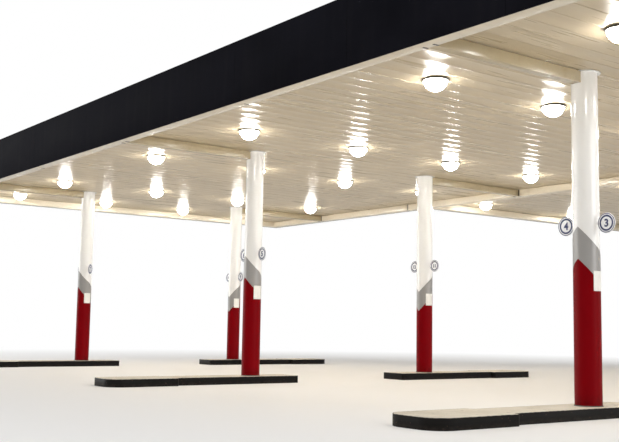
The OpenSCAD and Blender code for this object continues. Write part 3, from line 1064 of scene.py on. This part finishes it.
@dataclass
class Stage:
    """The pale floor, the soft light and the photograph's camera."""

    floor_reach: float = 160.0
    floor_sides: int = 64
    fade_start: float = 11.0
    fade_end: float = 27.0
    camera_place: Point = (18.440, -19.850, 1.2486)
    heading: float = math.radians(36.671)
    pitch: float = math.radians(6.227)
    roll: float = math.radians(0.969)
    focal_pixels: float = 975.83
    image_width: int = 619
    sensor_width: float = 36.0
    sight: float = 400.0
    sky_light: float = 0.46
    dim_side: Point = (0.42, -0.91, 0.0)
    dim_from: float = 0.5
    dim_to: float = 0.9
    dim_share: float = 0.1
    suns: tuple[tuple[str, float, Point, float], ...] = (
        ("key_sun", 0.8, (0.45, -0.72, 0.62), 35.0),
        ("left_sun", 0.9, (-0.85, -0.51, 0.13), 36.0),
        ("right_sun", 0.9, (0.96, 0.28, 0.13), 36.0),
    )

    def build(self) -> None:
        """Makes the floor, the world, the lights and the camera."""
        self.floor()
        self.world()
        for name, strength, towards, softness in self.suns:
            self.sun(name, strength, towards, softness)
        self.camera()

    def floor(self) -> None:
        """A wide pale floor that keeps the canopy's shadow and runs out to white for the camera."""
        s = Surface("studio_floor")
        grain = s.between(s.noise(3.0, 5), 0.3, 0.7, (0, 0.06))
        s.wear(Base_Color=s.over(tint("f3f1ee"), grain, "e9e7e2"), Roughness=0.85, Specular_IOR_Level=0.1)
        reach = s.add("ShaderNodeVectorMath", {0: s.place}, operation="LENGTH").outputs["Value"]
        far = s.between(reach, self.fade_start, self.fade_end)
        seen = s.add("ShaderNodeLightPath").outputs["Is Camera Ray"]
        white = s.add("ShaderNodeEmission", {"Color": WHITE, "Strength": 1.0})
        mixed = s.add("ShaderNodeMixShader", {
            0: s.maths("MULTIPLY", far, seen), 1: s.shader.outputs[0], 2: white.outputs[0]
        })
        s.fill(s.tree.nodes["Material Output"], {"Surface": mixed.outputs[0]})
        rim = [around((0, 0, 0), a, self.floor_reach) for a in circle(self.floor_sides)]
        Mesher().add(rim, [range(len(rim))]).piece("studio_floor", s.material)

    def world(self) -> None:
        """White to the camera and in reflections, and a plain level of light on the object."""
        world = bpy.data.worlds.new("studio")
        bpy.context.scene.world = world
        world.use_nodes = True
        t = Tree(world.node_tree)
        rays = t.add("ShaderNodeLightPath").outputs
        seen = t.maths("MAXIMUM", rays["Is Camera Ray"], rays["Is Glossy Ray"])
        seen = t.maths("MAXIMUM", seen, rays["Is Transmission Ray"])
        level = t.between(seen, 0.0, 1.0, (self.sky_light, 1.0))
        way = t.add("ShaderNodeTexCoord").outputs["Generated"]
        facing = t.add("ShaderNodeVectorMath", {0: way, 1: self.dim_side}, operation="DOT_PRODUCT")
        dim = t.between(facing.outputs["Value"], self.dim_from, self.dim_to, (1.0, self.dim_share))
        strength = t.maths("MULTIPLY", level, t.maths("MAXIMUM", dim, seen))
        t.fill(t.tree.nodes["Background"], {"Strength": strength, "Color": WHITE})

    def sun(self, name: str, strength: float, towards: Point, softness: float) -> None:
        """A soft distant lamp.

        Args:
            name: Its name.
            strength: Its strength on a surface that faces it.
            towards: The direction from the canopy to the lamp.
            softness: Its apparent size in degrees.
        """
        lamp = bpy.data.lights.new(name, "SUN")
        lamp.energy, lamp.angle = strength, math.radians(softness)
        thing = link(name, lamp)
        thing.rotation_mode = "QUATERNION"
        thing.rotation_quaternion = Vector(towards).to_track_quat("Z", "Y")

    def camera(self) -> None:
        """The camera at the photograph's place, direction and focal length."""
        look = Vector((
            -math.cos(self.heading) * math.cos(self.pitch),
            math.sin(self.heading) * math.cos(self.pitch),
            math.sin(self.pitch),
        ))
        level = Vector((math.sin(self.heading), math.cos(self.heading), 0.0))
        upright = level.cross(look)
        right = level * math.cos(self.roll) + upright * math.sin(self.roll)
        up = -level * math.sin(self.roll) + upright * math.cos(self.roll)
        data = bpy.data.cameras.new("camera")
        data.sensor_width, data.clip_end = self.sensor_width, self.sight
        data.lens = self.focal_pixels / self.image_width * self.sensor_width
        thing = link("camera", data)
        turn = Matrix((right, up, -look)).transposed().to_4x4()
        thing.matrix_world = Matrix.Translation(Vector(self.camera_place)) @ turn
        bpy.context.scene.camera = thing


@dataclass
class Assembly(ABC):
    """A part of the canopy, with its sizes as fields."""

    look: Finishes

    @abstractmethod
    def build(self) -> None:
        """Makes and dresses its pieces."""


@dataclass
class Decks(Assembly):
    """The soffit of folded pans, a row for each length of the roof, pressed slightly hollow."""

    sheet: float = 0.003
    joint_half: float = 0.004
    bend: float = 0.007
    bend_steps: int = 4
    hollow: float = 0.0105
    face_steps: int = 14
    rib_height: float = 0.075
    part_pan: float = 0.02
    clearance: float = 0.0003
    hole_sides: int = 72
    strip_hole: float = 0.2003
    strip_hole_sides: int = 48
    strip_gap: float = 0.0002
    strip_foot: float = 0.014
    strip_drop: float = 0.001
    overcut: float = 0.05

    def skin(self, inset: float) -> list[tuple[float, float]]:
        """One side of a pan's sheet: its two upright legs, its round bends and its bowed face.

        Args:
            inset: How far it lies inside the pan's outer side.

        Returns:
            Its points across the pan and up, from the left leg to the right one.
        """
        half = PAN_PITCH / 2 - self.joint_half - inset
        bend = self.bend - inset
        flat = half - bend
        turns = [math.pi / 2 * k / self.bend_steps for k in range(self.bend_steps + 1)]
        points = [(-half, self.rib_height)]
        points += [(-flat - bend * math.cos(a), inset + bend - bend * math.sin(a)) for a in turns[:-1]]
        for k in range(self.face_steps + 1):
            share = 2 * k / self.face_steps - 1
            points.append((share * flat, inset + self.hollow * (1 - share * share)))
        points += [(flat + bend * math.sin(a), inset + bend - bend * math.cos(a)) for a in turns[1:]]
        return points + [(half, self.rib_height)]

    def build(self) -> None:
        """Makes the four decks and the strips in their joints."""
        section = self.skin(0.0) + self.skin(self.sheet)[::-1]
        holes = {node: parts_of(node)[0].radius + self.clearance for node in ("lamp_cans", "columns")}
        for node in ("left_deck", "middle_deck", "right_deck", "link_deck"):
            deck = box_of(node)
            low, high = deck
            first = math.floor((low.x - ROOF.low.x) / PAN_PITCH + self.part_pan)
            last = math.ceil((high.x - ROOF.low.x) / PAN_PITCH - self.part_pan)
            start = ROOF.low.x + (first + 0.5) * PAN_PITCH
            rings = [[(start + x, y, low.z + z) for x, z in section] for y in (low.y, high.y)]
            pans = Mesher().sweep(rings).piece(node + "_pans", self.look.deck)
            row_recipe().cook(pans, crease=25, Count=last - first, Pitch=PAN_PITCH, Finish=self.look.deck)
            self.trim(pans, low.x, high.x)
            carve(pans, self.holes(deck, holes, self.hole_sides), crease=25)
            hand_over(pans, "deck_enamel", node)
            self.strips(node, deck, range(first + 1, last))

    def trim(self, pans: Thing, low: float, high: float) -> None:
        """Cuts a row of pans off square.

        Args:
            pans: The row.
            low: Its left end along X.
            high: Its right end.
        """
        work = bmesh.new()
        work.from_mesh(pans.data)
        for place, way in ((low, -1), (high, 1)):
            everything = work.verts[:] + work.edges[:] + work.faces[:]
            cut = bmesh.ops.bisect_plane(
                work, geom=everything, dist=FINE_GAP, plane_co=(place, 0, 0), plane_no=(way, 0, 0),
                clear_outer=True,
            )
            edges = [e for e in cut["geom_cut"] if isinstance(e, bmesh.types.BMEdge)]
            bmesh.ops.holes_fill(work, edges=edges)
        work.to_mesh(pans.data)
        work.free()

    def holes(self, deck: Block, radii: dict[str, float], sides: int) -> Mesher:
        """Round cutters wherever a lamp or a column passes a deck.

        Args:
            deck: The deck's box.
            radii: The radius of the hole for each node that passes.
            sides: How many sides a hole has.

        Returns:
            The cutters.
        """
        cutter = Mesher()
        foot, top = deck.low.z - self.overcut, deck.high.z + self.overcut
        for node, radius in radii.items():
            for spot in (part.centre for part in parts_of(node)):
                if deck.spans(spot):
                    profile = [(0, foot), (radius, foot), (radius, top), (0, top)]
                    cutter.lathe(profile, (spot.x, spot.y, 0), sides)
        return cutter

    def strips(self, node: str, deck: Block, joints: Iterable[int]) -> None:
        """Snaps a batten between each pair of legs, down to the joint line.

        Args:
            node: The deck's node.
            deck: Its box.
            joints: The numbers of its joints, counted from the roof's left end.
        """
        low, high = deck
        mesher = Mesher()
        leg, half = self.joint_half + self.sheet, self.joint_half - self.strip_gap
        for x in (ROOF.low.x + i * PAN_PITCH for i in joints):
            if low.x + leg < x < high.x - leg:
                rise = (low.z + self.strip_foot, high.z - self.strip_drop)
                mesher.block((x - half, x + half), (low.y, high.y), rise)
        strips = mesher.piece(node + "_joint_strips", self.look.zinc)
        radii = dict.fromkeys(("lamp_cans", "columns"), self.strip_hole)
        carve(strips, self.holes(deck, radii, self.strip_hole_sides))
        hand_over(strips, "steelwork")


@dataclass
class Gutters(Assembly):
    """Gutters, edge channels and drain troughs with rolled edges, splice straps and trough hangers."""

    rounding: float = 0.0025
    strap_width: float = 0.075
    strap_sheet: float = 0.0022
    strap_stop: float = 0.01
    strap_drop: float = 0.004
    strap_rises: Point = (0.035, 0.09, 0.145)
    strap_reaches: Point = (0.05, 0.13, 0.21)
    hole_share: float = 0.6
    splice_places: tuple[float, float] = (-4.572, 4.572)
    hanger_width: float = 0.034
    hanger_foot: float = 0.085
    hanger_sheet: float = 0.005
    hanger_drop: float = 0.002
    trough_reach: float = 2.5

    def build(self) -> None:
        """Makes the runs and what is fixed to them."""
        for name, paint, *nodes in (
            # The front gutter wears the darker copy of the gutter enamel, whose extra darkness is painted
            # shade.
            ("front_gutter_sheet", self.look.front_gutter, "front_gutter"),
            ("back_gutter_sheet", self.look.gutter, "back_gutter"),
            ("end_channel_sheets", self.look.gutter, "end_channels"),
            ("trough_sheets", self.look.trough, "drain_troughs"),
            ("link_gutter_sheets", self.look.gutter, "link_end_gutter", "link_edge_channels"),
        ):
            hand_over(softened(name, nodes, self.rounding, paint), "gutter_enamel", *nodes)
        self.splices()
        self.hangers()

    def long_gutters(self) -> list[tuple[Block, float, float, int]]:
        """The two long gutters: the box, the inner and the outer face along Y, and the way inwards."""
        front, back = box_of("front_gutter"), box_of("back_gutter")
        return [(front, front.high.y, front.low.y, 1), (back, back.low.y, back.high.y, -1)]

    def splices(self) -> None:
        """Straps of the same sheet round the long gutters, where two lengths meet half way along a bay."""
        mesher, rivets = Mesher(), []
        t, wide = self.strap_sheet, self.strap_width / 2
        for (low, high), inner, outer, way in self.long_gutters():
            for x in self.splice_places:
                across = (x - wide, x + wide)
                mesher.block(across, (outer + way * self.strap_stop, inner + way * t), (low.z - t, low.z))
                mesher.block(across, (inner, inner + way * t), (low.z, high.z - self.strap_drop))
                for side in (x - wide * self.hole_share, x + wide * self.hole_share):
                    rivets += [((side, inner + way * t, low.z + z), (0, way, 0)) for z in self.strap_rises]
                    rivets += [((side, inner - way * y, low.z - t), DOWN) for y in self.strap_reaches]
        # The straps and rivets on both long gutters take the darker front-gutter copy of the enamel, painted
        # shade included.
        hand_over(mesher.piece("gutter_splices", self.look.front_gutter), "gutter_enamel")
        RIVET.drive("splice_rivets", rivets, self.look.front_gutter, "gutter_enamel")

    def hangers(self) -> None:
        """Dark angles under the long gutters: one on each side of a trough and one at each splice."""
        mesher, screws = Mesher(), []
        t, wide, foot = self.hanger_sheet, self.hanger_width, self.hanger_foot
        for (low, high), inner, _, way in self.long_gutters():
            near = [box for box in parts_of("drain_troughs") if abs(box.centre.y - inner) < self.trough_reach]
            starts = [box.low.x - wide for box in near] + [box.high.x for box in near]
            starts += [x + self.strap_width / 2 for x in self.splice_places]
            for x in starts:
                mesher.block((x, x + wide), (inner, inner + way * t), (low.z - t, high.z - self.hanger_drop))
                mesher.block((x, x + wide), (inner - way * foot, inner + way * t), (low.z - t, low.z))
                screws.append(((x + wide / 2, inner - way * foot * self.hole_share, low.z - t), DOWN))
        hand_over(mesher.piece("trough_hangers", self.look.bezel), "bezel_dark")
        SCREW.drive("hanger_screws", screws, self.look.bright_zinc, "bezel_dark")


@dataclass
class Fascias(Assembly):
    """The smooth dark band round the roof, and the covers over its coping joints."""

    rounding: float = 0.003
    cover_width: float = 0.1
    cover_sheet: float = 0.0015
    cover_inset: float = 0.002
    coping: float = 0.12
    top_band: float = 0.0001
    edge_band: float = 0.3
    seam: float = 3.048

    def build(self) -> None:
        """Makes the panels, whose tops are lowered by the covers' thickness, and the covers."""
        for name, *nodes in (
            ("front_fascia_panels", "front_fascia"),
            ("left_fascia_panels", "left_fascia"),
            ("right_fascia_panels", "right_fascia"),
            ("back_fascia_panels", "back_left_fascia", "back_right_fascia"),
            ("link_fascia_panels", "link_side_fascias", "link_end_fascia"),
        ):
            panels = softened(name, nodes, self.rounding, self.look.fascia)
            for vert in panels.data.vertices:
                if vert.co.z > ROOF.high.z - self.top_band:
                    vert.co.z -= self.cover_sheet
            hand_over(panels, "fascia_black", *nodes)
        self.covers()

    def covers(self) -> None:
        """Thin plates over the joints of the coping, on every run."""
        mesher = Mesher()
        half, inset, top = self.cover_width / 2, self.cover_inset, ROOF.high.z
        long_runs = ("front_fascia", "back_left_fascia", "back_right_fascia", "link_end_fascia")
        runs = [(box_of(node), Axis.X) for node in long_runs]
        runs += [(box_of(node), Axis.Y) for node in ("left_fascia", "right_fascia")]
        runs += [(box, Axis.Y) for box in parts_of("link_side_fascias")]
        for (low, high), axis in runs:
            along, across = axis.value, 1 - axis.value
            width = min(high[across] - low[across], self.coping)
            faces_low = abs(low[across] - CAD_BOX[0][across]) < self.edge_band
            edge = low[across] if faces_low else high[across] - width
            length = high[along] - low[along]
            count = max(int(length / self.seam), 1)
            for k in range(1, count + 1):
                at = low[along] + length * k / (count + 1)
                spans = [(at - half, at + half), (edge + inset, edge + width - inset)]
                mesher.block(*(spans if axis is Axis.X else spans[::-1]), (top - 2 * self.cover_sheet, top))
        hand_over(mesher.piece("coping_covers", self.look.coping), "fascia_black")


@dataclass
class Columns(Assembly):
    """Glossy columns with their painted wraps, sealant, notices and number discs."""

    wrap_gap: float = 0.0003
    bead: Profile = ((0.014, -0.001), (0.011, 0.005), (0.004, 0.011))
    bead_foot: float = -0.001
    bead_top: float = 0.013
    bead_sides: int = 48
    notice_width: float = 0.205
    notice_low: float = 1.86
    notice_high: float = 2.16
    notice_turn: float = math.radians(5)
    notice_lift: float = 0.0035
    notice_steps: int = 10
    notice_margin: float = 0.014
    rivet_share: float = 0.86
    bay: float = 9.144
    ring_shares: Profile = ((0.885, 0.955), (0.62, 0.79))
    ring_sides: int = 64
    ring_lift: float = 0.0012
    ring_sink: float = 0.0005
    disc_rounding: float = 0.0012
    disc_sheet: float = 0.014
    face_gap: float = 0.00005
    arm_lap: float = 0.022
    arm_room: float = 0.03
    arm_overcut: float = 0.01
    digit_height: float = 0.115
    lone_digit: float = 1.35
    film_half: float = 0.0008
    film_lift: float = 0.0004
    digit_weights: tuple[float, ...] = (0.006, 0.0058, 0.0035, 0.0)
    seam_start: float = 0.22
    seam_end: float = 1.70
    seam_pitch: float = 0.145
    collar_screw_inset: float = 0.022
    anchor: float = 0.235
    weld_leg: float = 0.011
    weld_sink: float = 0.0005
    weld_bite: float = 0.001
    weld_curve: Profile = ((0.62, 0.38), (0.12, 1.0))
    rod: Profile = ((0, 0.001), (0.012, 0.001), (0.012, 0.078), (0.010, 0.081), (0, 0.081))
    rod_sides: int = 20
    front_numbers: tuple[tuple[str, str], ...] = (("8", "7"), ("6", "5"), ("4", "3"))
    back_numbers: tuple[tuple[str, str], ...] = (("10", "9"), ("12", "11"), ("2", "1"))

    def build(self) -> None:
        """Dresses the columns and makes what is fixed to them."""
        dress(self.look.column_white, "columns", "deck_collars")
        dress(self.look.wrap_red, "red_wraps")
        dress(self.look.wrap_grey, "grey_wraps")
        dress(self.look.steel, "base_plates", "cap_plates")
        self.notices()
        self.sealant()
        self.discs()
        self.seams()
        self.collar_screws()
        self.footings()

    def seams(self) -> None:
        """Rivets down the lapped edge of each red wrap, on the side away from the street."""
        spots: list[Spot] = []
        for wrap in parts_of("red_wraps"):
            way, rise = -wrap.side.value, self.seam_start
            while rise < self.seam_end:
                spots.append(((wrap.centre.x, wrap.centre.y + way * wrap.radius, rise), (0, way, 0)))
                rise += self.seam_pitch
        RIVET.drive("wrap_rivets", spots, self.look.wrap_red, "wrap_red")

    def collar_screws(self) -> None:
        """Four painted screws up through each collar into the deck."""
        spots: list[Spot] = []
        for collar in parts_of("deck_collars"):
            foot, reach = (*collar.centre.xy, collar.low.z), collar.radius - self.collar_screw_inset
            spots += [(around(foot, a, reach), DOWN) for a in DIAGONALS]
        SCREW.drive("collar_screws", spots, self.look.column_white, "column_paint")

    def footings(self) -> None:
        """Anchor rods, nuts and a fillet weld where a base plate stands in the open."""
        rods, welds, nuts = Mesher(), Mesher(), []
        radius, leg, foot = parts_of("columns")[0].radius, self.weld_leg, -self.weld_sink
        curve = [(radius + leg * out, leg * up) for out, up in self.weld_curve]
        inner = radius - self.weld_bite
        fillet = [(inner, foot), (radius + leg, foot), *curve, (inner, leg)]
        for plate in parts_of("base_plates"):
            if plate.centre.y < box_of("back_gutter").high.y:
                continue
            for x, y in corners(plate.centre, self.anchor, self.anchor):
                nuts.append(((x, y, plate.high.z), UP))
                rods.lathe(self.rod, (x, y, 0.0), self.rod_sides)
            welds.turn(fillet, (*plate.centre.xy, plate.high.z), circle(self.ring_sides))
        ANCHOR_NUT.drive("anchor_nuts", nuts, self.look.zinc, "steelwork")
        hand_over(rods.piece("anchor_rods", self.look.zinc), "steelwork")
        hand_over(welds.piece("base_welds", self.look.steel), "steelwork")

    def notices(self) -> None:
        """Bare plates bent round the wrap, one towards each lane, with a rivet in each corner."""
        mesher, rivets = Mesher(), []
        low, high, steps = self.notice_low, self.notice_high, self.notice_steps
        rises = (low + self.notice_margin, high - self.notice_margin)
        for wrap in parts_of("red_wraps"):
            foot, half = (*wrap.centre.xy, 0.0), self.notice_width / 2 / wrap.radius
            inner, outer = wrap.radius + self.wrap_gap, wrap.radius + self.notice_lift
            profile = [(inner, low), (outer, low), (outer, high), (inner, high)]
            for side, way in ((0, -wrap.side.value), (math.pi, wrap.side.value)):
                mid = side + self.notice_turn * way
                angles = [mid - half + 2 * half * k / steps for k in range(steps + 1)]
                mesher.turn(profile, foot, angles, closed=False)
                for angle in (mid - half * self.rivet_share, mid + half * self.rivet_share):
                    out = (math.cos(angle), math.sin(angle), 0)
                    rivets += [(around(foot, angle, outer, z), out) for z in rises]
        hand_over(mesher.piece("column_notices", self.look.notice), "disc_white")
        SMALL_RIVET.drive("notice_rivets", rivets, self.look.bright_zinc, "steelwork")

    def sealant(self) -> None:
        """A bead of sealant where a wrap leaves the concrete."""
        mesher = Mesher()
        for wrap in parts_of("red_wraps"):
            section = [(self.wrap_gap, self.bead_foot), *self.bead, (self.wrap_gap, self.bead_top)]
            profile = [(wrap.radius + out, rise) for out, rise in section]
            foot = (*wrap.centre.xy, box_of("island_tops").high.z)
            mesher.turn(profile, foot, circle(self.bead_sides))
        hand_over(mesher.piece("wrap_sealant", self.look.sealant), "bezel_dark")

    def discs(self) -> None:
        """Rounded plates on short arms, with rings and plain numbers on both faces."""
        rings, arms, rivets, films = Mesher(), Mesher(), [], []
        numbers = {Side.FRONT: self.front_numbers, Side.BACK: self.back_numbers}
        columns = [wrap.centre for wrap in parts_of("red_wraps")]
        for disc in parts_of("number_discs"):
            middle, radius = disc.centre, (disc.high.z - disc.low.z) / 2
            column = min(columns, key=lambda place: (place - middle).length_squared)
            left = middle.x < column.x
            x = disc.low.x + radius if left else disc.high.x - radius
            rivets.append(self.arm(arms, disc, (x, column.y, middle.z), 1 if left else -1))
            text = numbers[disc.side][round(column.x / self.bay) + 1][0 if left else 1]
            for face in (-1, 1):
                spot = (x, column.y + face * self.disc_sheet / 2, middle.z)
                sink, lift = -face * self.ring_sink, face * self.ring_lift
                for inner, outer in ((radius * a, radius * b) for a, b in self.ring_shares):
                    section = [(inner, sink), (outer, sink), (outer, lift), (inner, lift)]
                    rings.turn(section, spot, circle(self.ring_sides), axis=Axis.Y)
                films.append(self.number(text, spot, face))
        plates = softened("disc_plates", ["number_discs"], self.disc_rounding, self.look.disc_white)
        carve(plates, arms)
        hand_over(plates, "disc_white", "number_discs")
        ARM_RIVET.drive("arm_rivets", rivets, self.look.bright_zinc, "steelwork")
        hand_over(rings.piece("disc_rings", self.look.navy), "fascia_black")
        work = merged(films, FINE_GAP)
        bmesh.ops.recalc_face_normals(work, faces=work.faces)
        hand_over(solid("disc_digits", work, self.look.navy, crease=30), "fascia_black")

    def arm(self, cutter: Mesher, disc: Block, middle: Point, inwards: int) -> Spot:
        """Adds the cutter that ends a disc's arm just inside the disc's edge.

        Args:
            cutter: What it is added to.
            disc: The box round the disc and its arm.
            middle: The middle of the disc.
            inwards: The way along X from the disc to its column.

        Returns:
            The spot of the rivet through what is left of the arm there.
        """
        x, y, z = middle
        behind = 1 if disc.centre.y > y else -1
        lap = x + inwards * ((disc.high.z - disc.low.z) / 2 - self.arm_lap)
        face = y + behind * (self.disc_sheet / 2 + self.face_gap)
        across = (x - inwards * self.arm_overcut, lap)
        cutter.block(across, (face, y + behind * self.arm_room), (z - self.arm_room, z + self.arm_room))
        back = disc.high.y if behind > 0 else disc.low.y
        return ((lap + inwards * self.arm_lap / 2, back, z), (0, behind, 0))

    def film(self, text: str, weight: float) -> bpy.types.Mesh:
        """A number cut from thin film, flat at the origin.

        Args:
            text: The number.
            weight: How far its outline is grown.

        Returns:
            Its mesh.
        """
        curve = bpy.data.curves.new("digit", "FONT")
        curve.body, curve.extrude, curve.offset = text, self.film_half, weight
        curve.size = self.digit_height * (self.lone_digit if len(text) == 1 else 1.0)
        curve.align_x, curve.align_y = "CENTER", "CENTER"
        thing = link("digit", curve)
        mesh = evaluated(thing)
        discard(thing)
        return mesh

    def number(self, text: str, centre: Point, face: int) -> bpy.types.Mesh:
        """A number upright on a disc's face, in the heaviest weight whose outline fills without a gap.

        Args:
            text: The number.
            centre: The middle of the face.
            face: The way that it faces along Y.

        Returns:
            Its mesh.
        """
        films = (self.film(text, weight) for weight in self.digit_weights)
        mesh = next(film for film in films if is_closed(film))
        turn = Matrix.Rotation(math.pi / 2, 4, "X")
        if face > 0:
            turn = Matrix.Rotation(math.pi, 4, "Z") @ turn
        xs, ys = ([vert.co[k] for vert in mesh.vertices] for k in (0, 1))
        middle = Vector(((min(xs) + max(xs)) / 2, (min(ys) + max(ys)) / 2, 0))
        place = Matrix.Translation(Vector((centre[0], centre[1] + face * self.film_lift, centre[2])))
        mesh.transform(place @ turn @ Matrix.Translation(-middle))
        return mesh


@dataclass
class Islands(Assembly):
    """Black steel kerbs with a rolled top edge, and the concrete that they hold, tooled with joints."""

    kerb_rounding: float = 0.004
    top_rounding: float = 0.006
    joint_width: float = 0.006
    joint_depth: float = 0.010
    joint_overcut: float = 0.05
    joint_shares: Point = (0.33, 0.57, 0.90)

    def build(self) -> None:
        """Makes the kerbs and the tops."""
        kerbs = softened("kerb_forms", ["island_kerbs"], self.kerb_rounding, self.look.kerb_black)
        hand_over(kerbs, "kerb_black", "island_kerbs")
        joints, half, over = Mesher(), self.joint_width / 2, self.joint_overcut
        for top in parts_of("island_tops"):
            low, high = top
            for share in self.joint_shares:
                reach = share * (high.y - low.y)
                y = low.y + reach if top.side is Side.FRONT else high.y - reach
                rise = (high.z - self.joint_depth, high.z + over)
                joints.block((low.x - over, high.x + over), (y - half, y + half), rise)
        slabs = softened("island_slabs", ["island_tops"], self.top_rounding, self.look.concrete)
        carve(slabs, joints, crease=50)
        hand_over(slabs, "concrete", "island_tops")


@dataclass
class Lamps(Assembly):
    """Fluted bowls with their dark bezels, and the housings above the deck."""

    flutes: int = 36
    flute_depth: float = 0.0016
    rows: int = 14
    sides: int = 144
    bezel_rounding: float = 0.004
    lid_screw: float = 0.045

    def outline(self, bowl: Block) -> list[tuple[float, float]]:
        """The outline of a bowl, which is part of a sphere, drawn in by the depth of its flutes.

        Args:
            bowl: The bowl's box.

        Returns:
            Its (radius, rise) pairs, from the foot of its axis to the top.
        """
        radius, depth = bowl.radius, bowl.high.z - bowl.low.z
        dome = (radius * radius + depth * depth) / (2 * depth)
        limit = math.asin(min(radius / dome, 1.0))
        limit = limit if depth <= radius else math.pi - limit
        edge = radius - self.flute_depth
        turns = [limit * k / self.rows for k in range(1, self.rows)]
        arc = [(edge / math.sin(limit) * math.sin(a), dome - dome * math.cos(a)) for a in turns]
        return [(0.0, 0.0), *arc, (edge, depth), (0.0, depth)]

    def build(self) -> None:
        """Makes the bowls, the bezels and the housings' finish."""
        bowls, glass = parts_of("lamp_bowls"), self.look.glass
        bowl = Mesher().lathe(self.outline(bowls[0]), (0, 0, 0), self.sides)
        bowl = bowl.piece("lamp_bowl_glass", glass, crease=60)
        spots = point_cloud("lamp_spots", [((*box.centre.xy, box.low.z), UP) for box in bowls])
        sizes = {"Count": self.flutes, "Depth": self.flute_depth}
        flute_recipe().cook(bowl, crease=60, Lamps=spots, Finish=glass, **sizes)
        discard(spots)
        hand_over(bowl, "lamp_glass", "lamp_bowls")
        bezels = softened("bezel_rings", ["lamp_bezels"], self.bezel_rounding, self.look.bezel)
        hand_over(bezels, "bezel_dark", "lamp_bezels")
        dress(self.look.bright_zinc, "lamp_cans")
        self.screws()

    def screws(self) -> None:
        """Screws in the bezels' lower faces and in the lids of the housings' boxes."""
        below: list[Spot] = []
        above: list[Spot] = []
        for bezel, bowl in zip(parts_of("lamp_bezels"), parts_of("lamp_bowls")):
            foot, reach = (*bezel.centre.xy, bezel.low.z), (bezel.radius + bowl.radius) / 2
            below += [(around(foot, a, reach), DOWN) for a in DIAGONALS]
        for can in parts_of("lamp_cans"):
            for x in (can.centre.x - self.lid_screw, can.centre.x + self.lid_screw):
                above.append(((x, can.centre.y, can.high.z), UP))
        RIVET.drive("bezel_screws", below, self.look.bright_zinc, "bezel_dark")
        SCREW.drive("lid_screws", above, self.look.zinc, "lamp_metal")


@dataclass
class Steelwork(Assembly):
    """Beams, purlins, clips and angle frames, with their bolts."""

    bolt_x: float = 0.058
    bolt_y: float = 0.125
    flange: float = 0.015
    thickest_clip: float = 0.05
    clip_edge: float = 0.05
    clip_rows: Point = (0.2, 0.5, 0.8)
    beams: tuple[str, ...] = ("left_main_beam", "middle_main_beam", "right_main_beam", "link_beams")
    purlins: tuple[str, ...] = (
        "front_edge_purlins", "front_purlins", "centre_purlins", "back_purlins", "back_edge_purlins",
        "link_purlins",
    )

    def build(self) -> None:
        """Dresses the members and bolts the clips and the beams."""
        dress(self.look.steel, *self.beams, *self.purlins)
        dress(
            self.look.zinc, "purlin_clips", "front_fascia_frame", "end_fascia_frames", "back_fascia_frames",
            "link_side_frames", "link_end_frame",
        )
        self.clip_bolts()
        self.beam_bolts()

    def clip_bolts(self) -> None:
        """Three bolts through each clip and the web beside it, with a nut on the web's far side."""
        lines = [purlin.centre.y for node in self.purlins for purlin in parts_of(node)]
        beams = [round(beam.centre.x, 3) for node in self.beams for beam in parts_of(node)]
        spots: list[Spot] = []
        for clip in parts_of("purlin_clips"):
            low, high = clip
            if high.y - low.y > self.thickest_clip:
                continue
            line = min(lines, key=lambda y: abs(y - clip.centre.y))
            outer, inner = (high.y, low.y) if clip.centre.y > line else (low.y, high.y)
            way = 1 if outer > inner else -1
            beam = min(beams, key=lambda x: abs(x - clip.centre.x))
            far = high.x if abs(high.x - beam) > abs(low.x - beam) else low.x
            x = far + (self.clip_edge if far < beam else -self.clip_edge)
            for z in (low.z + (high.z - low.z) * share for share in self.clip_rows):
                spots += [((x, outer, z), (0, way, 0)), ((x, 2 * line - inner, z), (0, -way, 0))]
        CLIP_BOLT.drive("clip_bolts", spots, self.look.bright_zinc, "steelwork")

    def beam_bolts(self) -> None:
        """Four bolts through each beam's lower flange into the plate on top of the column."""
        spots: list[Spot] = []
        for plate in parts_of("cap_plates"):
            rise = plate.high.z + self.flange
            spots += [((x, y, rise), UP) for x, y in corners(plate.centre, self.bolt_x, self.bolt_y)]
        BEAM_BOLT.drive("beam_bolts", spots, self.look.bright_zinc, "steelwork")


def main() -> None:
    """Builds the canopy's looks in order."""
    logging.basicConfig(level=logging.INFO, format="%(name)s: %(message)s")
    look = Finishes()
    Stage().build()
    for assembly in (Decks, Gutters, Fascias, Columns, Islands, Lamps, Steelwork):
        assembly(look).build()
        LOG.info("%s built", assembly.__name__)
    bpy.context.scene.view_settings.view_transform = "Standard"


if __name__ == "__main__":
    main()
